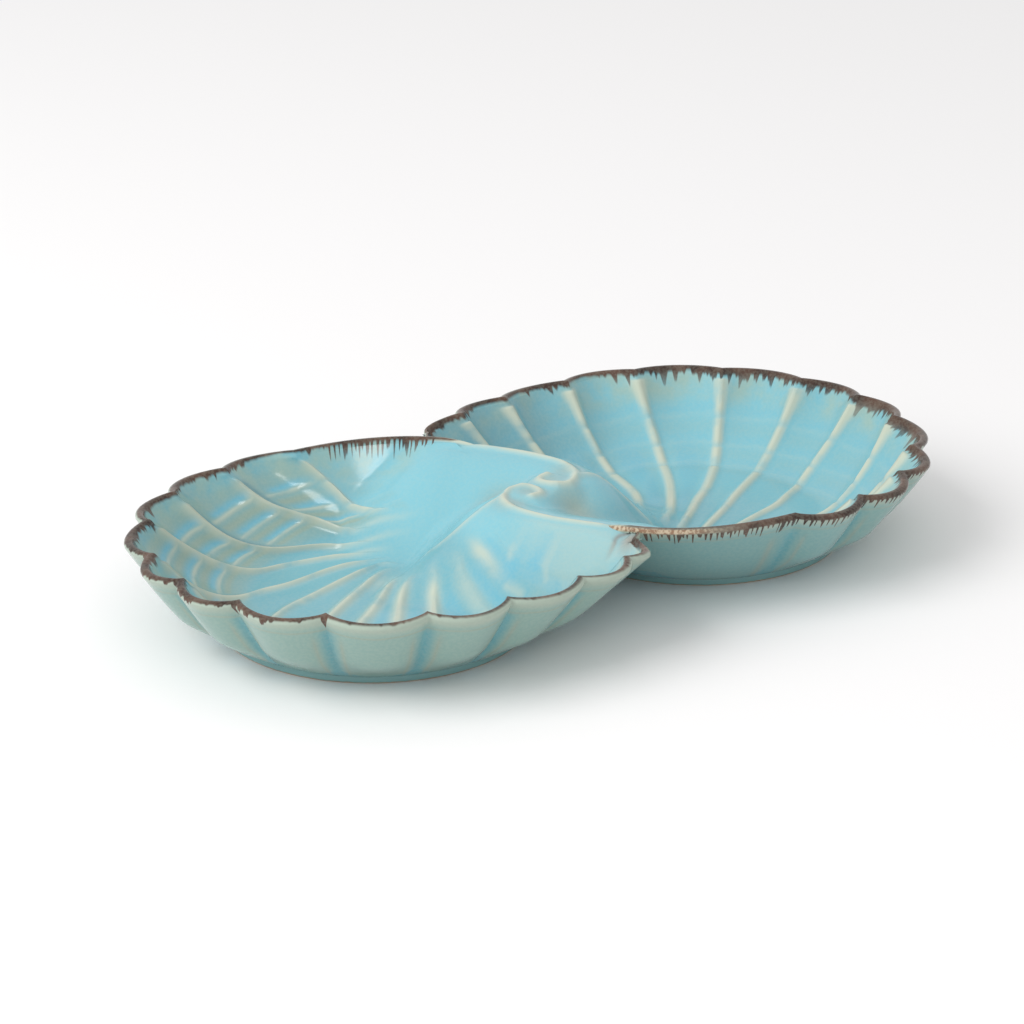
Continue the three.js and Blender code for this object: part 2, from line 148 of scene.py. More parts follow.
@dataclass(frozen=True)
class DishForm:
    """The dish's surfaces, as the CAD has them, with the left bowl's lines."""

    # Bowl
    bowl_x: float = 72.0
    floor: float = 7.0
    underside: float = 2.6
    wall_run: float = 34.0
    wall_curve: float = 1.7
    outer_curve: float = 1.35
    flute_start: float = 38.0
    flute_fade: float = 1.5
    foot_radius: float = 54.5
    foot_width: float = 7.0
    # Lobes and lip
    notch: float = 79.0
    front_spread: float = 16.0
    back_spread: float = 11.0
    spread_start: float = 88.0
    spread_end: float = 38.0
    rim: float = 36.0
    lobe_depth: float = 5.5
    lobe_dip: float = 1.1
    lobe_roundness: float = 0.8
    first_notch: float = -42.5
    lobe_widths: tuple[float, ...] = (12, 15, 21, 21.5, 24.5, 23, 20, 18.5, 23, 20, 21, 21.5)
    full_lobe: float = 18.0
    smooth_edge: float = 38.0
    lip: float = 4.2
    lip_rounding: float = 1.9
    least_wall: float = 1.0
    tip_thinness: float = 0.45
    tip: tuple[float, float] = (-2.0, -64.2)
    # Scroll
    ridge_height: float = 34.0
    shoulder_run: float = 58.0
    flank_run: float = 38.0
    crest_share: float = 0.62
    bead: float = 1.2
    bead_half: float = 1.7
    eye: tuple[float, float] = (6.0, 3.0)
    boss: float = 33.0
    boss_radius: float = 4.0
    boss_run: float = 22.0
    fillet: float = 8.0
    # Spur
    spur_height: float = 32.5
    spur_valley_run: float = 17.0
    spur_flute_run: float = 34.0

    def __post_init__(self) -> None:
        """Samples the scroll's lines once."""
        ridge = Line([(0, 52), (5, 46), (9, 40), (15, 30), (18.3, 22), (20.3, 14), (19.8, 7),
                      (17.5, 1.8), (11, -3.8), (5, -2.6), (2.8, 2.5), (4.5, 6.3), (8.5, 7)], 90)
        crest = Line([(0, 52), (5, 46)], 2)
        crest.points = ridge.points[: round(90 * self.crest_share) + 1]
        spur = Line([(-10, 3), (-18, 0), (-26, -1), (-33, 2), (-39, 8), (-44, 18)], 60)
        boss = Line([self.eye, (-self.eye[0], -self.eye[1])], 2)
        notches = self.first_notch - np.concatenate([[0.0], np.cumsum(self.lobe_widths)])
        for name, value in (("ridge", ridge), ("crest", crest), ("spur", spur), ("boss_line", boss),
                            ("notches", notches)):
            object.__setattr__(self, name, value)

    @property
    def edge_end(self) -> float:
        """Angle where the smooth edge ends at the back of the waist."""
        return float(self.notches[-1] - self.smooth_edge)

    def turned(self, degrees: Array) -> Array:
        """The angle, in the turn that runs clockwise from the first notch."""
        return self.first_notch - np.mod(self.first_notch - degrees, 360.0)

    @property
    def stops(self) -> Array:
        """Angles of the notches, then of the smooth edge's end."""
        return np.append(self.notches, self.edge_end)

    def lobe_place(self, degrees: Array) -> Array:
        """Place along the lip: 0 at the first notch, 1 at the next, and so on."""
        return np.interp(-self.turned(degrees), -self.stops, np.arange(len(self.stops)))

    def place_angle(self, place: Array) -> Array:
        """Angle of a place along the lip."""
        return np.interp(place, np.arange(len(self.stops)), self.stops)

    def swell(self, degrees: Array) -> Array:
        """How far a lobe swells: 0 at a notch, 1 in the middle of a full lobe.

        Args:
            degrees: angles about the bowl's middle.

        Returns:
            The share at each angle.
        """
        place = self.lobe_place(degrees)
        widths = np.array(self.lobe_widths)
        width = widths[np.clip(np.floor(place).astype(int), 0, len(widths) - 1)]
        swell = np.abs(np.sin(np.pi * place)) ** self.lobe_roundness
        swell = np.minimum(width / self.full_lobe, 1.0) * swell
        return np.where(self.turned(degrees) < self.notches[-1], 0.0, swell)

    def notch_radius(self, degrees: Array) -> Array:
        """Radius of the circle of notches, wider toward the waist.

        Args:
            degrees: angles about the bowl's middle.

        Returns:
            The radius at each angle.
        """
        turn = np.mod(degrees + 180.0, 360.0) - 180.0
        spread = mix(self.front_spread, self.back_spread, ramp(turn, -self.spread_end, self.spread_end))
        return self.notch + spread * (1.0 - ramp(np.abs(turn), self.spread_end, self.spread_start))

    def lip_radius(self, degrees: Array) -> Array:
        """Radius of the middle of the lip."""
        return self.notch_radius(degrees) + self.lobe_depth * self.swell(degrees)

    def lip_top(self, degrees: Array) -> Array:
        """Height of the top of the lip."""
        return self.rim - self.lobe_dip * self.swell(degrees)

    def lip_half(self, place: Array) -> Array:
        """Half the width of the lip, which thins toward the tip."""
        return self.lip / 2 * mix(self.tip_thinness, 1.0, ramp(place, 0.0, 0.7))

    def wall_rise(self, radius: Array, degrees: Array, swell: Array) -> Array:
        """Inside of the wall.

        Args:
            radius: the points' distance from the bowl's middle.
            degrees: their angles about it.
            swell: swell of the flute at each point.

        Returns:
            Heights above the floor.
        """
        notch = self.notch_radius(degrees)
        fade = np.clip((radius - self.flute_start) / (notch - self.flute_start), 0.0, 1.0)
        edge = notch + self.lobe_depth * swell * fade**self.flute_fade
        share = np.clip((self.wall_run - (edge - radius)) / (self.wall_run - self.lip / 2), 0.0, 1.0)
        full = self.rim - self.lobe_dip * swell - self.lip_rounding - self.floor
        return full * share**self.wall_curve

    def outer_radius(self, share: Array, notch: Array, half: Array | float, swell: Array) -> Array:
        """Radius of the outside.

        Args:
            share: shares of its height, from the underside to the lip.
            notch: radius of the circle of notches.
            half: half the lip's width.
            swell: how far the lobe swells.

        Returns:
            The radius at each share.
        """
        reach = notch + half - self.foot_radius
        lobe = self.lobe_depth * swell * ramp(share, 0.02, 0.42)
        return self.foot_radius + reach * share ** (1.0 / self.outer_curve) + lobe

    def outer_height(self, radius: Array, degrees: Array) -> Array:
        """Height of the outside over points, found by halving.

        Args:
            radius: the points' distance from the bowl's middle.
            degrees: their angles about it.

        Returns:
            The heights.
        """
        notch, swell = self.notch_radius(degrees), self.swell(degrees)
        low, high = np.zeros(radius.shape), np.ones(radius.shape)
        for _ in range(16):
            middle = (low + high) / 2
            inside = self.outer_radius(middle, notch, self.lip / 2, swell) < radius
            low, high = np.where(inside, middle, low), np.where(inside, high, middle)
        return self.underside + (self.lip_top(degrees) - self.lip_rounding - self.underside) * low

    def blend(self, a: Array, b: Array) -> Array:
        """The higher of two forms, with a fillet in the hollow between them.

        Args:
            a: heights of one form above the floor.
            b: heights of the other.

        Returns:
            Heights of both as one.
        """
        high = np.maximum(a, b)
        room = 2.0 * np.maximum(self.rim - self.floor - high, 0.0)
        reach = np.minimum(np.minimum(self.fillet, 2.0 * np.minimum(a, b)), room)
        overlap = np.maximum(reach - np.abs(a - b), 0.0)
        return high + overlap * overlap / (4.0 * np.maximum(reach, 1e-6))

    def hill(self, crest: Array, distance: Array, run: Array) -> Array:
        """Rounded crest that falls to the floor within its run."""
        fall = np.minimum(distance / run, 1.0)
        return (crest - self.floor) * (1.0 - fall * fall) ** 2

    def crest_rise(self, x: Array, y: Array) -> Array:
        """A volute ridge with its broad shoulder.

        Args:
            x: the points' x.
            y: the points' y.

        Returns:
            Heights above the floor.
        """
        distance, along, side = self.crest.nearest(x, y)
        run = mix(self.flank_run, self.shoulder_run, ramp(side, -1.0, 1.0))
        start = self.rim - self.lip_rounding
        return self.hill(mix(start, self.ridge_height, ramp(along, 0.0, self.crest_share)), distance, run)

    def boss_rise(self, x: Array, y: Array) -> Array:
        """The middle of the scroll, under both eyes.

        Args:
            x: the points' x.
            y: the points' y.

        Returns:
            Heights above the floor.
        """
        distance = self.boss_line.nearest(x, y)[0]
        fall = ramp(distance, self.boss_radius, self.boss_radius + self.boss_run)
        return (self.boss - self.floor) * (1.0 - fall)

    def spur_rise(self, x: Array, y: Array) -> Array:
        """The crest that runs from a volute down to the root of the flutes.

        Args:
            x: the points' x.
            y: the points' y.

        Returns:
            Heights above the floor.
        """
        distance, along, side = self.spur.nearest(x, y)
        run = mix(self.spur_flute_run, self.spur_valley_run, ramp(side, -1.0, 1.0))
        return self.hill(mix(self.spur_height, self.floor, along), distance, run)

    def ridge_bead(self, x: Array, y: Array) -> Array:
        """Share of the bead along one volute ridge, which starts under the lip's end."""
        distance, along, _ = self.ridge.nearest(x, y)
        return soft(distance, self.bead_half) * ramp(along, 0.0, 0.14)

    def polar(self, x: Array, y: Array) -> tuple[Array, Array]:
        """Radius and angle in degrees about the left bowl's middle."""
        return np.hypot(x + self.bowl_x, y), np.degrees(np.arctan2(y, x + self.bowl_x))

    def top(self, x: Array, y: Array, swell: Array) -> Array:
        """Upper face of the dish over its left half.

        Args:
            x: the points' x.
            y: the points' y.
            swell: swell of the flute at each point.

        Returns:
            The heights.
        """
        crests = self.blend(self.crest_rise(x, y), self.crest_rise(-x, -y))
        spurs = self.blend(self.spur_rise(x, y), self.spur_rise(-x, -y))
        scroll = self.blend(self.blend(crests, spurs), self.boss_rise(x, y))
        radius, degrees = self.polar(x, y)
        face = self.floor + self.blend(scroll, self.wall_rise(radius, degrees, swell))
        return np.maximum(face, self.outer_height(radius, degrees) + self.least_wall)


@dataclass(frozen=True)
class Fan:
    """Lines of the left shell that run from its pole along the ribs to the notches."""

    form: DishForm
    pole: tuple[float, float] = (-42.0, 16.0)
    steps: int = 160

    def __post_init__(self) -> None:
        """Samples the ribs from the pole outward; the last line ends the smooth edge."""
        bends = [
            [(-37.4, 4.5), (-31, -10), (-33, -24), (-31, -36), (-22, -52)],
            [(-39, 6), (-37, -6), (-39, -18), (-39, -36), (-33, -55)],
            [(-41, 7), (-43, -8.8), (-47, -18), (-50, -35), (-50, -55)],
            [(-43, 8), (-49.5, -3.6), (-56, -12.7), (-65, -27), (-71, -50)],
            [(-45, 11), (-52, 6.8), (-61, -1), (-70, -11.4), (-84, -30), (-95, -50)],
            [(-48, 16.5), (-56, 11.3), (-66.4, 3), (-79.4, -7.5), (-92, -17), (-110, -34)],
            [(-50, 22), (-58.6, 19), (-69, 12.6), (-83, 4.2), (-100, -7), (-121, -19)],
            [(-49, 27), (-56, 26.6), (-69, 23), (-87, 17.2), (-100, 13.3), (-112, 7), (-128, 0)],
            [(-46, 27.5), (-54, 33), (-69, 33.5), (-87, 31), (-99, 31.5), (-113, 30), (-130, 27)],
            [(-44, 28), (-49, 36), (-58, 42), (-77, 46), (-91, 46), (-103, 48), (-116, 50)],
            [(-41, 28.5), (-48, 44), (-57, 50), (-71.6, 53), (-82, 55), (-95, 59)],
            [(-38, 28), (-40, 42), (-46, 52), (-54, 59), (-62, 63), (-72, 68)],
            [(-35, 27), (-34, 44), (-37, 53), (-41, 61), (-46, 69)],
            [(-32.6, 26.4), (-18.5, 41.6), (-9, 50.4)],
        ]
        ends = self.lip_edge(np.arange(len(bends), dtype=float))
        lines = [Line([self.pole, *bend, tuple(end)], self.steps) for bend, end in zip(bends, ends)]
        object.__setattr__(self, "lines", np.array([line.points for line in lines]))
        object.__setattr__(self, "lengths", np.array([line.length for line in lines]))

    @property
    def last(self) -> int:
        """Place of the smooth edge's end."""
        return len(self.lines) - 1

    def lip_edge(self, place: Array) -> Array:
        """Inner edge of the lip.

        Args:
            place: places along the lip.

        Returns:
            The edge's point in plan at each place.
        """
        degrees = self.form.place_angle(place)
        radius = self.form.lip_radius(degrees) - self.form.lip_half(place)
        angle = np.radians(degrees)
        return np.c_[radius * np.cos(angle) - self.form.bowl_x, radius * np.sin(angle)]

    def length(self, place: Array) -> Array:
        """Length of the line to a place on the lip."""
        return np.interp(place, np.arange(len(self.lengths)), self.lengths)

    def grid(self, place: Array, share: Array) -> tuple[Array, Array]:
        """Points along the lines to places on the lip, bent out into each lobe near it.

        Args:
            place: places along the lip, one to a row.
            share: shares of the way from the pole to the lip, one row to a place.

        Returns:
            The points, and the width of the flute at each of them.
        """
        first = np.clip(np.floor(place).astype(int), 0, self.last - 1)
        part = (place - first)[:, None, None]
        spot = share * self.steps
        low = np.clip(np.floor(spot).astype(int), 0, self.steps - 1)
        rest = (spot - low)[..., None]
        near = mix(self.lines[first[:, None], low], self.lines[first[:, None], low + 1], rest)
        far = mix(self.lines[first[:, None] + 1, low], self.lines[first[:, None] + 1, low + 1], rest)
        points = mix(near, far, part)
        chord = mix(self.lines[first, -1], self.lines[first + 1, -1], part[:, 0])
        swing = self.lip_edge(place) - chord
        return points + swing[:, None, :] * share[..., None] ** 3, np.linalg.norm(far - near, axis=-1)


@dataclass(frozen=True)
class Relief:
    """Ribs, flutes and growth steps pressed into a bowl, where its glaze thins, and where shade and light are
    painted on it.

    Places are on the left bowl's lines, also for the right bowl.
    """

    NAMES: ClassVar[tuple[str, ...]] = ("rib", "pool", "dome", "pale", "shade", "wash", "tan", "smoke")

    form: DishForm
    fan: Fan
    side: Side
    # Ribs, and the shares of their lines where they start and stop
    rib_height: float = 1.4
    rib_half: float = 2.0
    rib_narrowing: float = 0.75
    rib_flare: float = 0.7
    flare_length: float = 5.0
    plain_widening: float = 0.95
    stain: float = 1.05
    first_rib: tuple[float, float] = (0.45, 0.55)
    last_rib: tuple[float, float] = (12.45, 12.55)
    root_ribs: tuple[int, ...] = (0, 3, 5, 7, 9, 10, 11, 12)
    root_shares: tuple[float, ...] = (0.32, 0.2, 0.12, 0.12, 0.22, 0.3, 0.42, 0.5)
    stop_ribs: tuple[int, ...] = (1, 2, 3, 4)
    stop_shares: tuple[float, ...] = (0.46, 0.7, 0.9, 1.2)
    # Growth steps across the flutes, with the pools and domes beside them
    growth_rows: tuple[float, ...] = (10.0, 19.5, 29.0)
    growth_bow: float = 1.0
    growth_flattening: float = 2.8
    growth_height: float = 0.26
    growth_half: float = 0.8
    pool_depth: float = 0.16
    pool_offset: float = 2.3
    pool_half: float = 1.3
    dome_offset: float = 3.6
    dome_half: float = 2.6
    pillow_height: float = 0.9
    # Marks on the spur, the scroll and the hump
    spur_edge: float = 1.5
    spur_bead: float = 0.6
    streak_half: float = 1.6
    drop_half: float = 1.7
    tail_half: float = 1.3
    smear_offset: float = 2.5
    smear_reach: float = 5.5
    eye_reach: float = 6.0
    pools: tuple[Blot, ...] = (((-37.0, -31.0), 6.0), ((-30.5, -38.0), 5.0), ((-38.5, -21.0), 4.0))
    root_blot: Blot = ((-60.0, 12.0), 9.0)
    # Tan blots, partly painted shade, at the volutes' necks and in a hollow of the scroll.
    neck_blots: tuple[Blot, ...] = (((-7.0, 12.5), 8.0), ((7.0, -12.5), 8.0))
    hollow_blot: Blot = ((-18.0, -7.0), 6.0)

    def __post_init__(self) -> None:
        """Samples the marks that are drawn as lines: streaks of the back ribs, drops, and the tip's tail."""
        streaks = [[(-58, 42), (-50, 39), (-40, 29)], [(-57, 50), (-43, 40.6), (-30, 28)],
                   [(-50, 56), (-39, 47), (-32.6, 39), (-23.5, 31.5)]]
        drops = [[(-31, -25.5), (-34, -28.5)], [(-28, -39), (-29, -42), (-31, -45)],
                 [(-18.5, -49), (-19.5, -52)], [(-40, -34), (-38.5, -40)]]
        tail = [(-0.5, -55.5), (-4, -54), (-6.5, -54.2), (-7.6, -55.5)]
        object.__setattr__(self, "streaks", [Line(points, 12) for points in streaks])
        object.__setattr__(self, "drops", [Line(points, 6) for points in drops])
        object.__setattr__(self, "tail", Line(tail, 12))

    @property
    def stepped(self) -> float:
        """1 on the left bowl, whose flutes have growth steps, and 0 on the right one."""
        return 1.0 if self.side is Side.LEFT else 0.0

    def ribbed(self, where: Array) -> Array:
        """Share of the ribs at places along the lip: 1 between the first rib and the last."""
        return ramp(where, *self.first_rib) * (1.0 - ramp(where, *self.last_rib))

    def ribs(self, where: Array, share: Array, gap: Array, from_rim: Array) -> tuple[Array, Array]:
        """Ribs along the lines that end at the notches.

        Args:
            where: place along the lip of each point's line.
            share: shares of the way from the pole to the lip.
            gap: width of the flute at each point.
            from_rim: length along the line to the lip.

        Returns:
            The ribs' height and their cream stain, as shares.
        """
        part = where - np.floor(where)
        off = np.minimum(part, 1.0 - part) * gap
        root = np.interp(np.round(where), self.root_ribs, self.root_shares)
        stop = np.interp(np.round(where), self.stop_ribs, self.stop_shares)
        half = self.rib_half * mix(1.0, self.rib_narrowing, self.stepped * ramp(where, 6.0, 8.0))
        half = half * mix(0.6, 1.0, ramp(gap, 3.0, 10.0))
        flare = 1.0 + self.rib_flare * soft(from_rim, self.flare_length)
        half = half * mix(self.plain_widening * flare, 1.0, self.stepped)
        length = self.ribbed(where) * ramp(share, root - 0.08, root + 0.12)
        length = length * ramp(from_rim, 0.5, mix(2.0, 4.0, self.stepped))
        length = length * (1.0 - self.stepped * ramp(share, stop - 0.12, stop + 0.12))
        crisp = 1.0 - ramp(off / half, 0.45 * self.stain, 1.35 * self.stain)
        return soft(off, half) * length, mix(crisp, soft(off, half * 1.3), self.stepped) * length

    def growth(self, where: Array, share: Array, from_rim: Array) -> tuple[Array, Array, Array, Array]:
        """Growth steps across the flutes.

        Args:
            where: place along the lip of each point's line.
            share: shares of the way from the pole to the lip.
            from_rim: length along the line to the lip.

        Returns:
            Shares of the steps, of the pools over them, of the domes under them, and of the ribs' pinches.
        """
        part = where - np.floor(where)
        swell = np.abs(np.sin(np.pi * where)) ** self.form.lobe_roundness
        from_chord = from_rim - self.growth_flattening * swell * share**3
        across = np.clip((part - 0.14) / 0.86, 0.0, 1.0)
        bow = self.growth_bow * np.sin(np.pi * across**1.6)
        steps, pools, domes, kinks = (np.zeros(share.shape) for _ in range(4))
        for row in self.growth_rows:
            off = row - from_chord - bow
            steps = np.maximum(steps, soft(off, self.growth_half) * ramp(part, 0.1, 0.22))
            pools = np.maximum(pools, soft(off - self.pool_offset, self.pool_half) * ramp(across, 0.05, 0.3))
            domes = np.maximum(domes, soft(off + self.dome_offset, self.dome_half) * ramp(part, 0.1, 0.25))
            kinks = np.maximum(kinks, soft(row + 1.0 - from_rim, 1.0))
        return steps, pools, domes, kinks

    def flutes(self, place: Array, share: Array, gap: Array) -> tuple[Array, dict[str, Array]]:
        """Relief along the lines that end at the lip.

        Args:
            place: places along the lip, one to a row.
            share: shares of the way from the pole to the lip.
            gap: width of the flute at each point.

        Returns:
            Height added to the plain surface, and the shares of the glaze and of painted shade and light, by
            name.
        """
        stepped = self.stepped
        where = np.broadcast_to(place[:, None], share.shape)
        part = where - np.floor(where)
        from_rim = (1.0 - share) * self.fan.length(place)[:, None]
        rib, stain = self.ribs(where, share, gap, from_rim)
        steps, pool, dome, kinks = self.growth(where, share, from_rim)
        scaled = stepped * ramp(where, 6.8, 8.0) * (1.0 - ramp(where, 11.6, 12.0))
        zone = ramp(from_rim, 2.0, 5.0) * (1.0 - ramp(from_rim, 36.0, 44.0))
        level = zone * mix(0.16, 1.0, scaled) * self.ribbed(where)
        steps, pool, dome = steps * level, pool * level, dome * level
        pinch = 1.0 - 0.5 * kinks * zone * (1.0 - scaled)
        worn_off = 1.0 - 0.5 * stepped * soft(where - 2.0, 0.4)
        rib, stain = rib * pinch, stain * pinch * worn_off
        pillow = (1.0 - ramp(where, 4.0, 5.5)) * ramp(share, 0.28, 0.42) * (1.0 - ramp(share, 0.72, 0.9))
        rise = self.rib_height * rib + self.growth_height * steps - self.pool_depth * pool
        rise = rise + self.pillow_height * pillow * np.sin(np.pi * part) ** 0.8 * ramp(gap, 3.0, 8.0)
        # Painted shade: a dark band on one side of each rib of the left bowl's wall, and on the right bowl's
        # wall behind the waist.
        under_rib = soft(part - 0.1, 0.055) * zone * scaled
        behind_waist = (1.0 - stepped) * 0.42 * (1.0 - ramp(where, 2.2, 3.4)) * ramp(share, 0.5, 0.75)
        # Painted light: the right bowl's wall is made paler in the middle of its back, places 3 to 6, on top
        # of its paler glaze.
        middle = ramp(where, 2.8, 3.8) * (1.0 - ramp(where, 5.0, 6.5))
        plain_pale = mix(0.45, 0.85, middle) * ramp(share, 0.3, 0.6)
        stepped_pale = 0.5 * (1.0 - ramp(share, 0.35, 0.6)) * ramp(where, 5.0, 9.0)
        wash_end = mix(10.0, 18.0, ramp(where, 9.0, 11.5))
        from_waist = np.minimum(where, self.fan.last - where)
        shares = {
            "rib": np.maximum(stain, 0.75 * steps),
            "pool": np.maximum(0.8 * pool, 0.45 * pillow * ramp(np.minimum(part, 1.0 - part), 0.2, 0.4)),
            "dome": np.maximum(0.85 * dome, 0.45 * zone * scaled),
            "pale": mix(plain_pale, stepped_pale, stepped),
            "shade": np.maximum(under_rib, behind_waist),
            "wash": (1.0 - ramp(from_rim, 3.0, wash_end)) * ramp(from_waist, 0.0, 0.4),
        }
        return rise * ramp(from_rim, 0.0, 1.5), shares

    def scroll(self, x: Array, y: Array) -> tuple[Array, dict[str, Array]]:
        """Relief of the scroll's ridges and of the spur, anywhere on the left half.

        Args:
            x: the points' x.
            y: the points' y.

        Returns:
            Height added to the plain surface, and the glaze's shares by name.
        """
        form = self.form
        bead = np.maximum(form.ridge_bead(x, y), form.ridge_bead(-x, -y))
        crest = form.blend(form.crest_rise(x, y), form.crest_rise(-x, -y))
        distance, along, _ = form.spur.nearest(x, y)
        spur = soft(distance, self.spur_edge) * ramp(along, 0.02, 0.2) * (1.0 - ramp(along, 0.75, 1.0))
        valley = np.maximum(ramp(crest, 12.0, 22.0), ramp(x, -60.0, -25.0) * ramp(y, 8.0, 26.0))
        streak = np.zeros(x.shape)
        for line in self.streaks:
            off, reach, _ = line.nearest(x, y)
            streak = np.maximum(streak, soft(off, self.streak_half) * (1.0 - ramp(reach, 0.3, 1.0)))
        from_ridge, _, bank = form.crest.nearest(-x, -y)
        hump = ramp(-y, 12.0, 32.0) * ramp(x, -42.0, -26.0) * ramp(-bank * from_ridge, 0.0, 4.0)
        tail = soft(self.tail.nearest(x, y)[0], self.tail_half)
        smear = blot(x, y, ((form.tip[0], form.tip[1] + self.smear_offset), self.smear_reach))
        neck = np.maximum.reduce([blot(x, y, spot) for spot in self.neck_blots])
        eye = blot(x, y, ((-form.eye[0], -form.eye[1]), self.eye_reach))
        hollow = blot(x, y, self.hollow_blot)
        shares = {name: np.zeros(x.shape) for name in self.NAMES}
        cream = np.maximum.reduce([bead, 0.6 * spur, 0.45 * streak, 0.36 * hump * self.stepped])
        shares["rib"] = np.clip(cream, 0.0, 1.0)
        shares["pale"] = np.clip(valley, 0.0, 1.0)
        shares["smoke"] = np.maximum(0.8 * tail, 0.9 * smear)
        # Tan tint that is partly painted shade, at the volutes' necks, in a hollow of the scroll and at the
        # eye.
        shares["tan"] = np.maximum.reduce([0.6 * neck, 0.4 * hollow, 0.4 * eye])
        if self.side is Side.LEFT:
            self.mark_hump(x, y, shares)
        return form.bead * bead + self.spur_bead * spur, shares

    def mark_hump(self, x: Array, y: Array, shares: dict[str, Array]) -> None:
        """Adds the left hump's blue pools and cream drops, and the cream where its ribs start.

        Args:
            x: the points' x.
            y: the points' y.
            shares: the glaze's shares by name, which are changed.
        """
        drops = np.maximum.reduce([soft(line.nearest(x, y)[0], self.drop_half) for line in self.drops])
        pools = np.maximum.reduce([blot(x, y, pool) for pool in self.pools])
        root = blot(x, y, self.root_blot)
        shares["rib"] = np.maximum.reduce([shares["rib"] * (1.0 - 0.8 * pools), 0.5 * drops, 0.4 * root])
        shares["pool"] = 0.7 * pools


@dataclass
class Skin:
    """A mesh in the making: points, quads and the glaze's shares at each point."""

    points: Array
    quads: Array
    shares: dict[str, Array]

    def turned(self, turn: float) -> "Skin":
        """The same skin, turned half round when turn is -1."""
        return Skin(self.points * np.array([turn, turn, 1.0]), self.quads, dict(self.shares))

    def pulled(self, tip: tuple[float, float], pull: tuple[float, float, float], reach: float) -> "Skin":
        """The same skin, drawn out of shape near a place.

        Args:
            tip: the place, in plan.
            pull: how far the skin moves there.
            reach: distance in plan at which the skin stays as it is.

        Returns:
            The moved skin.
        """
        away = np.hypot(self.points[:, 0] - tip[0], self.points[:, 1] - tip[1]) / reach
        weight = np.maximum(1.0 - away * away, 0.0) ** 2
        return Skin(self.points + weight[:, None] * np.array(pull), self.quads, self.shares)

    def part(self, chosen: Array) -> "Skin":
        """Some of the skin's quads, as a skin of their own.

        Args:
            chosen: which quads, as True or False for each.

        Returns:
            Their skin, without the points that it leaves unused.
        """
        quads = self.quads[chosen]
        used, index = np.unique(quads, return_inverse=True)
        shares = {name: values[used] for name, values in self.shares.items()}
        return Skin(self.points[used], index.reshape(-1, 4), shares)

    @staticmethod
    def joined(skins: list["Skin"]) -> "Skin":
        """Several skins as one, with points at the same place kept apart.

        Args:
            skins: the skins, which carry the same shares.

        Returns:
            The one skin, with their points in order.
        """
        start, quads = 0, []
        for skin in skins:
            quads.append(skin.quads + start)
            start += len(skin.points)
        shares = {name: np.concatenate([skin.shares[name] for skin in skins]) for name in skins[0].shares}
        return Skin(np.vstack([skin.points for skin in skins]), np.vstack(quads), shares)

    def normals(self) -> Array:
        """Smooth normals, shared by all points that lie at one place.

        Returns:
            One normal to a point.
        """
        _, place = np.unique(np.round(self.points, 3), axis=0, return_inverse=True)
        place = place.reshape(-1)
        a, b, c, d = (self.points[self.quads[:, k]] for k in range(4))
        faces = np.cross(c - a, d - b)
        total = np.zeros((place.max() + 1, 3))
        for k in range(4):
            np.add.at(total, place[self.quads[:, k]], faces)
        total /= np.maximum(np.linalg.norm(total, axis=1, keepdims=True), 1e-12)
        return total[place]

    def to_object(self, name: str, normals: Array | None, material: bpy.types.Material) -> bpy.types.Object:
        """A Blender object of this skin.

        Args:
            name: the object's name.
            normals: smooth normals at the points, or None for the mesh's own.
            material: its finish.

        Returns:
            The linked object.
        """
        faces = []
        for quad in self.quads.tolist():
            corners = list(dict.fromkeys(quad))
            if len(corners) > 2:
                faces.append(corners)
        mesh = bpy.data.meshes.new(name)
        mesh.from_pydata((self.points * MM).tolist(), [], faces)
        for share, values in self.shares.items():
            attribute = mesh.attributes.new(share, "FLOAT", "POINT")
            attribute.data.foreach_set("value", values.astype(np.float32))
        mesh.polygons.foreach_set("use_smooth", np.ones(len(mesh.polygons), bool))
        if normals is not None:
            mesh.normals_split_custom_set_from_vertices(normals.tolist())
        mesh.materials.append(material)
        made = bpy.data.objects.new(name, mesh)
        bpy.context.scene.collection.objects.link(made)
        return made


def grid_quads(rows: int, columns: int, closed: bool) -> Array:
    """Quads of a grid of points.

    Args:
        rows: how many rows of points.
        columns: how many points to a row.
        closed: whether the last row joins the first.

    Returns:
        Corner indices, four to a quad.
    """
    row = np.arange(rows if closed else rows - 1)[:, None]
    column = np.arange(columns - 1)[None, :]
    here, after = row * columns + column, (row + 1) % rows * columns + column
    corners = (here, after, after + 1, here + 1)
    return np.stack(np.broadcast_arrays(*corners), axis=-1).reshape(-1, 4)


